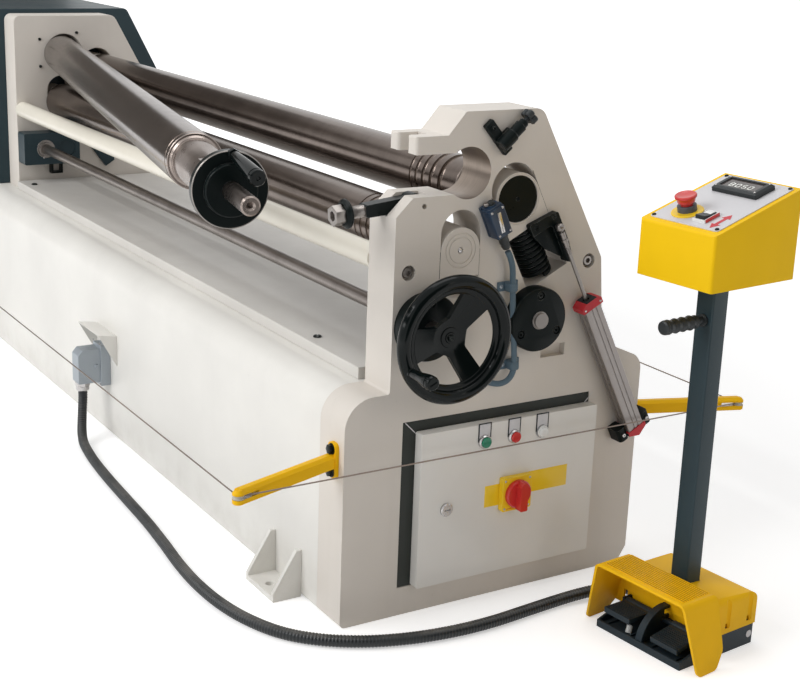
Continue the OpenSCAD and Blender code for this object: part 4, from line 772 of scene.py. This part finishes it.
CONDUIT_ROUTE = (
    (141, -428, 128), (141, -428, 108), (145, -431, 84), (157, -437, 56), (182, -447, 30),
    (222, -458, 16), (280, -468, 13), (370, -480, 13), (490, -490, 13), (630, -498, 13),
    (770, -506, 13), (900, -518, 13), (1010, -530, 13), (1110, -535, 13), (1210, -530, 13),
    (1300, -512, 13), (1380, -478, 13), (1440, -425, 13), (1485, -355, 13), (1515, -270, 13),
    (1530, -180, 13), (1532, -90, 13), (1524, 0, 13), (1517, 74, 13), (1518, 132, 16),
    (1528, 182, 21), (1548, 219, 26), (1577, 237, 28), (1608, 240, 28))
CONDUIT_D = 0.025


def smooth_route(points, step):
    """Even steps along the smooth curve through the points."""
    knots = [Vector(p) * MM for p in points]
    knots = [2 * knots[0] - knots[1]] + knots + [2 * knots[-1] - knots[-2]]
    fine = []
    for a, b, c, d in zip(knots, knots[1:], knots[2:], knots[3:]):
        for i in range(40):
            t = i / 40
            fine.append(0.5 * (2 * b + (c - a) * t + (2 * a - 5 * b + 4 * c - d) * t * t
                               + (3 * b - a - 3 * c + d) * t ** 3))
    fine.append(knots[-2])
    total = sum((b - a).length for a, b in zip(fine, fine[1:]))
    count = round(total / step)
    route, along, target = [fine[0]], 0.0, total / count
    for a, b in zip(fine, fine[1:]):
        length = (b - a).length
        while along + length >= target * len(route) - 1e-9 and len(route) < count:
            route.append(a.lerp(b, (target * len(route) - along) / length))
        along += length
    return route + [fine[-1]], total


def hose(name, route, radius_at, sides):
    """A closed tube along the route; radius_at gives the radius in metres at each step."""
    mesh = bmesh.new()
    rings = []
    side = Vector((1, 0, 0))
    for i, point in enumerate(route):
        ahead = (route[min(i + 1, len(route) - 1)] - route[max(i - 1, 0)]).normalized()
        side = (side - ahead * side.dot(ahead)).normalized()
        up = ahead.cross(side)
        radius = radius_at(i)
        rings.append([mesh.verts.new(point + radius * (math.cos(a) * side + math.sin(a) * up))
                      for a in (2 * math.pi * k / sides for k in range(sides))])
    for a, b in zip(rings, rings[1:]):
        for k in range(sides):
            n = (k + 1) % sides
            mesh.faces.new((a[k], a[n], b[n], b[k]))
    mesh.faces.new(reversed(rings[0]))
    mesh.faces.new(rings[-1])
    bmesh.ops.recalc_face_normals(mesh, faces=mesh.faces)
    data = bpy.data.meshes.new(name)
    mesh.to_mesh(data)
    mesh.free()
    return added(name, data)


def make_conduit():
    """Ribbed hose: its wall steps in and out along the route, four rings to a rib."""
    route, length = smooth_route(CONDUIT_ROUTE, 0.0017)
    piece = hose("conduit_hose", route,
                 lambda i: CONDUIT_D / 2 - (0.0, 0.0, 0.0013, 0.0013)[i % 4], 14)
    settled(piece, "conduit_hose", "root", "conduit_black", node="conduit", angle=60)


def make_switch_cable():
    """Cable of the limit switch, held by two saddle clips, down to its hole."""
    route = smooth_route(((1420, -20, 735), (1420, -13, 722), (1420, -6, 700), (1420, -3, 662),
                             (1420, 2, 600), (1420, 8, 545), (1420, 11, 505), (1420, 8, 484),
                             (1419, -4, 470), (1415, -20, 465), (1406, -33, 466),
                             (1397, -41, 468)), 0.004)[0]
    parts = [hose("sheath", route, lambda i: 0.006, 16)]
    for y, z, lean in ((-3, 661, 2), (11, 500, 3)):
        for low, high, bevel in (((-9.5, -24, 0), (9.5, 24, 5), 1.5),
                                 ((-9.5, -10, 0), (9.5, 10, 27), 5)):
            part = block(low, high, bevel, 3)
            part.data.transform(on_end(y, z) @ turn(lean, "Z"))
            parts.append(part)
    settled(joined(parts), "switch_cable_run", "root", "cable_grey", node="switch_cable")


def make_plunger_bracket():
    """Foot plate with a standing rib and the stepped housing of the pin."""
    parts = [block((0, -50, 0), (12, 26, 22), 2.5, 3), block((0, -11, 0), (20, 11, 40), 2.0),
             block((0, 12, 2), (17, 20, 18), 1.5)]
    housing = turned([[0, 13], [1, 14], [34, 14], [37, 12], [58, 12], [59, 9.5], [67, 9.5],
                      [69, 8]], 28)
    housing.data.transform(shift(18, 0, 0))
    settled(joined(parts + [housing]), "plunger_housing", "root", "black_steel", PLUNGER,
            node="plunger_bracket")


make_conduit()
make_switch_cable()
make_plunger_bracket()

# ------------------------------------------------------------------ springs


def make_spring(piece, name, material, place, joint, keep, **more):
    """Compression spring on its foot; joint and keep are not used."""
    settled(piece, name, "root", material, place, angle=60, **more)
    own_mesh(piece)


make_spring(coil(27.5, 9.4, 116.0, 10), "block_spring_coil", "black_steel",
            shift(1366, 2, 851) @ turn(27, "X") @ shift(0, -1, -204.7), "rear_roll_slide", 0.475,
            node="block_spring")
make_spring(coil(5.5, 1.6, 17, 7, sides=8, steps=20), "pedal_return_spring", "white_plastic",
            STAND @ shift(-40, -97, 9.5) @ turn(-14, "X"), "pedal_left_press", 0.15,
            slot="bright_steel")

# ------------------------------------------------------------------ screws and bolts


def socket_screw(d, h):
    """Cap screw with a hexagon socket, standing on local z = 0."""
    head = turned([[0, d / 2], [h - 0.09 * d, d / 2], [h, d * 0.42]], 28)
    return carved(head, hexagon(d * 0.46, h * 0.45, h + 1))


def hex_bolt(across, h, washer):
    """Hexagon head with a chamfered top on a round washer."""
    head = hexagon(across, 1.6, h)
    modified(head, "BEVEL", width=across * 0.05 * MM, segments=2, limit_method="ANGLE",
             angle_limit=math.radians(70))
    return joined([turned([[0, washer / 2], [1.4, washer / 2], [1.8, washer / 2 - 0.4]], 24),
                   head])


def slotted_screw(d, h, cross=False):
    """Domed screw head with a slot, or with a cross."""
    head = turned([[0, d / 2], [h * 0.45, d / 2], [h * 0.8, d * 0.42], [h, d * 0.27]], 24)
    carved(head, block((-d, -d * 0.07, h * 0.5), (d, d * 0.07, h + 1)))
    if cross:
        carved(head, block((-d * 0.07, -d, h * 0.5), (d * 0.07, d, h + 1)))
    return head


copies(socket_screw(22, 11), "frame_screw", "root", "dull_steel",
       [on_end(y, z, X_END - 13.8) for y, z in ((-231, 707), (198, 692))], slot="bright_steel")
for node, (y, z) in (("shaft_flange", SHAFT_AXIS), ("hub_flange", HUB_AXIS)):
    copies(socket_screw(13.5, 8.5), node + "_screw", "root", "black_steel",
           [on_end(y + 50 * math.cos(math.radians(a)), z + 50 * math.sin(math.radians(a)), 1420.2)
           for a in (90, 210, 330)])
copies(slotted_screw(10.5, 2.6), "block_centre_screw", "front_blocks", "bright_steel",
       [on_end(*FRONT_AXIS, 1398.2) @ turn(35, "Z")])
copies(socket_screw(10, 5), "bracket_screw", "rear_blocks", "black_steel",
       [REAR_SLOT @ shift(10.2, y, -91) @ OUT_OF_END for y in (8, 54)])
copies(slotted_screw(18, 5), "deck_screw", "root", "black_steel",
       [shift(x, y, 496.8) @ turn(x / 7, "Z") for x in (-780, 1071) for y in (-243, 243)])
copies(socket_screw(9, 5), "seat_screw", "root", "black_steel",
       [shift(LEFT_FACE, y, z) @ OUT_OF_END for y, z in ((-183, 933), (-64, 952), (-183, 850))])
copies(slotted_screw(5, 2.2, cross=True), "switch_cover_screw", "root", "bright_steel",
       [SWITCH @ shift(33.9, y, z) @ OUT_OF_END for y in (-13, 13) for z in (-26, 24)])
copies(slotted_screw(8, 3.4), "clip_screw", "root", "zinc", [on_end(y, z, 1404.8) @ turn(30, "Z")
       for y, z in ((-20, 661), (14, 661), (-6, 500), (28, 500))])
copies(slotted_screw(5, 2), "transducer_cap_screw", "root", "bright_steel",
       [TRANSDUCER @ shift(16.9, y, -183.5) @ OUT_OF_END for y in (-20, 20)])
copies(socket_screw(8, 4.5), "clamp_screw", "root", "bright_steel",
       [TRANSDUCER @ shift(9.9, y, -499) @ OUT_OF_END for y in (-33, 33)])
copies(socket_screw(9, 5), "plunger_screw", "root", "black_steel",
       [PLUNGER @ shift(11.9, -37, 11) @ OUT_OF_END])
copies(hex_bolt(17, 8.5, 23), "arm_bolt", "root", "black_steel",
       [shift(sx * 1366, sy * 368.0, WIRE_Z + dz) @ (OUT_OF_FRONT if sy < 0 else turn(-90, "X"))
       @ turn(12 + dz, "Z") for sx in (-1, 1) for sy in (-1, 1) for dz in (-23, 23)])
copies(slotted_screw(5, 1.8, cross=True), "switch_plate_screw", "door", "bright_steel",
       [on_end(MAIN_SWITCH[0] + y, MAIN_SWITCH[1] + z, DOOR_FACE + 13.9) @ turn(20 + y, "Z")
       for y in (-30, 30) for z in (-30, 30)])
copies(slotted_screw(8, 2.6, cross=True), "face_screw", "root", "black_steel",
       [CONSOLE @ shift(x, y, 2) @ turn(25 * x / 75, "Z") for x in (-75, 75) for y in (-100, 100)])
copies(slotted_screw(4.6, 1.4, cross=True), "display_screw", "root", "bright_steel",
       [CONSOLE @ shift(x, DISPLAY_Y + y, 13.7) for x in (-45.5, 45.5) for y in (-21, 21)])
copies(slotted_screw(8, 4, cross=True), "cover_screw", "root", "black_steel",
       [STAND @ shift(side * 104, y, 48.2) for side in (-1, 1) for y in (16, 79)])
copies(slotted_screw(6, 2.4, cross=True), "plug_screw", "root", "bright_steel",
       [shift(141 + x, -386.8, z) @ OUT_OF_FRONT for x in (-24.2, 24.2) for z in (144.5, 253.5)])
copies(socket_screw(5, 2), "collar_screw", "root", "bright_steel",
       [shift(-800, *SHAFT_AXIS) @ turn(a, "X") @ shift(0, 0, 27.4) for a in (70, 160)])
copies(bevelled(carved(hexagon(35, 149.8, 170), hexagon(17, 158, 172)), 1.0), "bolt_nut",
       "swing_bolt", "dull_steel", [SWING_BOLT], slot="black_steel")
# inner ring of the handwheel's rim
deselect()
bpy.ops.mesh.primitive_torus_add(major_radius=98.5 * MM, minor_radius=12 * MM, major_segments=96,
                                 minor_segments=16)
rim = applied(bpy.context.object)
rim.data.transform(Matrix.Diagonal((1, 1, 0.42, 1)))
settled(rim, "wheel_inner_rim", "handwheel", "gloss_black", WHEEL @ shift(0, 0, -3),
        slot=SLOT_OF["handwheel"], angle=60)
copies(socket_screw(12, 2.5), "wheel_hub_screw", "handwheel", "black_steel",
       [WHEEL @ shift(0, 0, -12.1)])

# ------------------------------------------------------------------ threads and sheaves


def thread(d, start, end, pitch):
    """A threaded length as fine ridges round local z."""
    count = int((end - start) / pitch)
    profile = [[start, d / 2 - 0.3 * pitch]]
    for i in range(count):
        z = start + pitch * i
        profile += [[z + 0.5 * pitch, d / 2], [z + pitch, d / 2 - 0.45 * pitch]]
    return turned(profile, 28)


settled(thread(24, 107, 137.8, 2.8), "bolt_thread", "swing_bolt", "dull_steel", SWING_BOLT,
        slot="bright_steel")
settled(thread(9.6, -60, -47, 1.6), "rod_thread", "rear_blocks", "dull_steel", TRANSDUCER,
        slot="bright_steel")
copies(turned([[-3.4, 11.3], [-2.4, 11.3], [-0.6, 8.9], [0.6, 8.9], [2.4, 11.3], [3.4, 11.3]], 32),
       "wire_sheave", "root", "sheave_plastic", [shift(sx * ARM_X, sy * ARM_Y, WIRE_Z)
       for sx in (-1, 1) for sy in (-1, 1)], slot="white_plastic")

# ------------------------------------------------------------------ left frame, bracket, switch


def make_hollow_bracket():
    """Short length of square tube under the gear block."""
    tube = block((LEFT_FACE, -165, 516), (-848, -127, 553.2), 0.8)
    carved(tube, block((-880, -158, 523), (-840, -134, 546)))
    settled(tube, "gear_block_stay", "root", "black_steel", slot="grey_paint")
    # the left frame's face inside the tube, in the darker copy of the cream paint: painted shade
    settled(block((LEFT_FACE + 0.1, -158.2, 522.8), (-866, -133.8, 546.2)), "stay_back", "root",
            "cream_paint_painted_shade", slot="cream_paint")


def make_tube_gusset():
    """Dark three-cornered lug on the left frame behind the tie tube."""
    lug = block((LEFT_FACE, -42, 528), (-858, 49, 590), 0.0)
    for place, away in (((-864, 20, 528), (0, -46, -33)), ((-864, 20, 528), (0, 18, -29))):
        trimmed(lug, Vector(place) * MM, away)
    settled(bevelled(lug, 1.0), "frame_lug", "root", "grey_paint")


def make_bracket_web():
    """Web that fills the inner corner of the bracket beside the spring."""
    web = block((1.2, -5, -190), (8, 46, -88))
    for place, away in (((0, -5, -99), (0, -44, -17)), ((0, 12, -143), (0, -33.6, -26.5))):
        trimmed(web, Vector(place) * MM, away)
    settled(bevelled(web, 0.8), "bracket_web", "rear_blocks", "black_steel", REAR_SLOT)


def make_switch_details():
    """Blank bright strip on the switch's cover and a round cap above it."""
    settled(block((33.8, -4, -24), (34.5, 4, 18), 0.25), "switch_strip", "root", "bright_steel",
            SWITCH @ turn(-6, "X"))
    settled(turned([[34.6, 7], [38.5, 7], [39.5, 6]], 24), "switch_cap", "root", "dull_steel",
            SWITCH @ shift(14, -6, 0), slot="bright_steel")


def make_slot_lines():
    """Dark strips of painted shade standing for the gaps between the bearing blocks and the end
    plate.
    """
    for name, low, high, where in (
            ("rear_inner", (-0.6, -53.0, -88), (0.3, -52.1, 12), REAR_SLOT),
            ("rear_outer", (-0.6, 52.1, -88), (0.3, 53.0, 12), REAR_SLOT),
            ("front_inner", (1399.4, -162.4, 689), (1400.3, -161.6, 741), None),
            ("front_outer", (1399.4, -72.4, 689), (1400.3, -71.6, 741), None)):
        settled(block(low, high, 0.1, 1), "slot_gap_shade_" + name, "root", "painted_gap_shade", where,
                slot="black_plastic")


make_slot_lines()
make_hollow_bracket()
make_tube_gusset()
make_bracket_web()
make_switch_details()

# ------------------------------------------------------------------ cabinet


def make_door_seal():
    """Black rubber frame that fills the gap between the door and the recess."""
    outer = block((1388, -230.2, 60.8), (1399.4, 224.2, 409.2), 1.0)
    carved(outer, block((1380, -186, 72), (1405, 214, 374)))
    settled(outer, "door_seal", "root", "seal_rubber", slot="black_plastic")
    # mitre joints of the two upper corners
    for name, y, z, way in (("front", -208.2, 391.5, 1), ("rear", 219.0, 391.5, -1)):
        strip = block((-0.2, -0.9, -24), (0.6, 0.9, 24), 0.2)
        settled(strip, "seal_mitre_" + name, "root", "face_plate", shift(1399.4, y, z)
                @ turn(45 * way, "X"))


def round_the_button(piece):
    """Bores a plate for the button or lamp that comes through it."""
    bore = turned([[-2, 13], [4, 13]], 32)
    bore.data.transform(shift(0, -24, 0))
    return carved(piece, bore)


def legend_plate():
    """Blank label holder: a raised rim round a sunk plate."""
    plate = block((-15.5, -24, 0), (15.5, 15, 1.6), 0.6)
    return round_the_button(carved(plate, block((-13.2, -21.5, 0.9), (13.2, 12.7, 3))))


make_door_seal()
copies(legend_plate(), "legend_plate", "door", "black_plastic",
       [on_end(y, LEGEND_Z, DOOR_FACE) @ turn(90, "Z") for y in BUTTON_YS])
copies(round_the_button(block((-13, -21.3, 0), (13, 12.5, 0.5), 0.15)), "legend_blank", "door",
       "face_plate", [on_end(y, LEGEND_Z, DOOR_FACE + 0.85) @ turn(90, "Z") for y in BUTTON_YS])
for side, y0, y1, z0, z1 in (("front", -46, 2, 208, 254), ("rear", 60, 160, 222, 268)):
    settled(block((DOOR_FACE - 0.2, y0, z0), (DOOR_FACE + 0.5, y1, z1), 0.2), "blank_plate_"
            + side, "door", "yellow_plastic")
settled(block((-25, -31, -0.2), (25, -30, 0.6), 0.2), "switch_dial_mark", "door", "red_plastic",
        on_end(*MAIN_SWITCH, DOOR_FACE + 14) @ turn(90, "Z"))

# ------------------------------------------------------------------ console

DIGIT_SEGMENTS = {0: "abcdef", 5: "acdfg", 8: "abcdefg"}
SEGMENT_PLACES = {"a": (0, 4, 0), "b": (2.7, 2, 90), "c": (2.7, -2, 90), "d": (0, -4, 0),
                  "e": (-2.7, -2, 90), "f": (-2.7, 2, 90), "g": (0, 0, 0)}


def make_display():
    """Four figures of bar segments behind the display's window."""
    master = block((-3.1, -0.8, 0), (3.1, 0.8, 0.45), 0.15, 1)
    made = []
    for i, figure in enumerate((8, 0, 5, 0)):
        for segment in DIGIT_SEGMENTS[figure]:
            x, y, angle = SEGMENT_PLACES[segment]
            piece = added("segment", master.data.copy())
            piece.data.transform(shift(-21 + 14.5 * i + x * 1.5, 54.5 + y * 1.6, 11.6)
                                 @ turn(angle, "Z"))
            made.append(piece)
    bpy.data.objects.remove(master)
    settled(joined(made), "display_figures", "root", "digit_white", CONSOLE, slot="white_plastic")


def make_arrow():
    """Red double arrow beside the rocker, pointing both ways along the face."""
    deselect()
    bpy.ops.mesh.primitive_cube_add(size=1, location=(0, 0, 0.3 * MM))
    piece = bpy.context.object
    piece.scale = Vector((7, 30, 0.5)) * MM
    applied(piece)
    heads = []
    for way in (0, 180):
        deselect()
        bpy.ops.mesh.primitive_cylinder_add(vertices=3, radius=11.5 * MM, depth=0.5 * MM,
                                            location=(0, 0, 0.3 * MM))
        head = applied(bpy.context.object)
        head.data.transform(turn(way, "Z") @ shift(0, 19, 0))
        heads.append(head)
    modified(piece, "BOOLEAN", operation="UNION", object=heads[0], solver="EXACT")
    modified(piece, "BOOLEAN", operation="UNION", object=heads[1], solver="EXACT")
    for head in heads:
        bpy.data.objects.remove(head)
    bevelled(piece, 0.15, 1)
    settled(piece, "direction_arrow", "root", "red_paint", CONSOLE @ shift(58, -70, 2.0),
            slot="red_plastic")


make_display()
make_arrow()
settled(block((38.2, -88, 2.4), (39.6, -51, 8.6), 0.5), "rocker_side_band", "root", "red_plastic",
        CONSOLE)
# white patch on the raised half of the rocker: a painted highlight
settled(block((-8.5, -6.2, -0.3), (8.5, 6.2, 0.5), 0.25), "rocker_highlight", "rocker", "white_plastic",
        CONSOLE @ shift(24, -70, 8) @ turn(-8, "X") @ shift(0, 8.4, 3.24) @ turn(5.7, "X"))

# ------------------------------------------------------------------ pedal unit

# dark strips of painted shade in the grooves between the grip ribs on the guard's hood
RIB_PITCH = 6
for i in range(12):
    front = -109.1 + RIB_PITCH * i
    settled(block((-101, front, 137.9), (101, front + 2.8, 138.3), 0.15, 1),
            f"guard_groove_shade_{i + 1}", "root", "groove_shade", STAND, slot=SLOT_OF["pedal_guard"])
settled(turned([[-0.2, 7.5], [0.5, 7.5], [0.9, 7.0]], 32), "blank_emblem", "root", "face_plate",
        STAND @ shift(110, 83, 22) @ OUT_OF_END)

# ------------------------------------------------------------------ light and floor


def aimed(thing, place, target, front):
    """Puts a lamp or a card at its place, its front to the target."""
    thing.location = place
    thing.rotation_euler = (Vector(target) - Vector(place)).to_track_quat(front, "Y").to_euler()


def area_light(name, place, target, size, power, colour=(1.0, 1.0, 1.0)):
    data = bpy.data.lights.new(name, "AREA")
    data.shape = "RECTANGLE"
    data.size, data.size_y = size
    data.energy, data.color = power, colour
    aimed(added(name, data), place, target, "-Z")


def plain_material(name, colour):
    """A material without gloss for what surrounds the object."""
    material = bpy.data.materials.new(name)
    material.use_nodes = True
    shader = material.node_tree.nodes["Principled BSDF"]
    shader.inputs["Base Color"].default_value = rgba(colour)
    shader.inputs["Specular IOR Level"].default_value = 0.0
    return material, shader


def make_lights():
    area_light("key", (0.2, -5.4, 3.2), (0.2, 0.0, 0.5), (4.4, 2.6), 180)
    area_light("top", (0.3, 0.6, 5.2), (0.3, 0.1, 0.5), (4.0, 3.0), 80)
    area_light("strip", (0.2, -3.4, 3.6), (0.2, 0.0, 0.8), (4.6, 0.22), 40)
    area_light("end_fill", (5.6, 0.6, 2.2), (1.3, 0.0, 0.5), (2.6, 2.2), 26, (1.0, 0.92, 0.84))


def make_flag(name, place, target, size, shade=0.012):
    """A card that only reflections show, so that metal and gloss have something dark to mirror."""
    deselect()
    bpy.ops.mesh.primitive_plane_add(size=1, location=place)
    card = bpy.context.object
    card.name = name
    card.scale = (*size, 1)
    aimed(card, place, target, "Z")
    card.data.materials.append(plain_material(name, (shade, 0.9 * shade, 0.82 * shade))[0])
    card.visible_camera = card.visible_diffuse = card.visible_shadow = False
    card.visible_transmission = card.visible_volume_scatter = False


def any_of_rays(tree):
    """1 for a ray from the camera, a reflection or a refraction."""
    path = add(tree, "LightPath").outputs
    seen = path["Is Camera Ray"]
    for ray in ("Is Glossy Ray", "Is Transmission Ray"):
        seen = maths(tree, "MAXIMUM", seen, path[ray])
    return seen


def make_world():
    """White behind the object and in its reflections, a dimmer soft light on it."""
    world = bpy.data.worlds.new("studio")
    bpy.context.scene.world = world
    world.use_nodes = True
    tree = world.node_tree
    background = tree.nodes["Background"]
    strength = add(tree, "MapRange", {"Value": any_of_rays(tree), "To Min": 0.28, "To Max": 1.0})
    tree.links.new(strength.outputs["Result"], background.inputs["Strength"])
    background.inputs["Color"].default_value = (1.0, 1.0, 1.0, 1.0)


def make_floor():
    """A pale floor that reads as white away from the shadow of the object."""
    deselect()
    bpy.ops.mesh.primitive_plane_add(size=60, location=(0, 0, 0))
    floor = bpy.context.object
    floor.name = "floor"
    material, shader = plain_material("floor", (0.86, 0.86, 0.86))
    shader.inputs["Roughness"].default_value = 0.8
    tree = material.node_tree
    place = add(tree, "TexCoord").outputs["Object"]
    reach = add(tree, "VectorMath", {0: place}, operation="LENGTH").outputs["Value"]
    level = add(tree, "MapRange", {"Value": reach, "From Min": 1.6, "From Max": 5.0,
                                   "To Min": 0.42, "To Max": 1.0}).outputs["Result"]
    lift = add(tree, "Emission", {"Strength": maths(tree, "MULTIPLY", any_of_rays(tree), level)})
    both = add(tree, "AddShader", {0: shader.outputs[0], 1: lift.outputs[0]})
    tree.links.new(both.outputs[0], tree.nodes["Material Output"].inputs["Surface"])
    floor.data.materials.append(material)


make_world()
make_lights()
make_flag("flag_end", (4.6, -0.3, 0.9), (1.4, 0.0, 0.7), (3.2, 4.2))
make_flag("flag_roll", (0.4, -2.6, 1.7), (0.4, 0.0, 0.8), (5.6, 0.5))
make_flag("flag_left", (-2.4, -0.45, 1.5), (0.0, -0.3, 0.95), (1.9, 2.2), shade=0.22)
make_floor()
bpy.context.scene.view_settings.view_transform = "Standard"
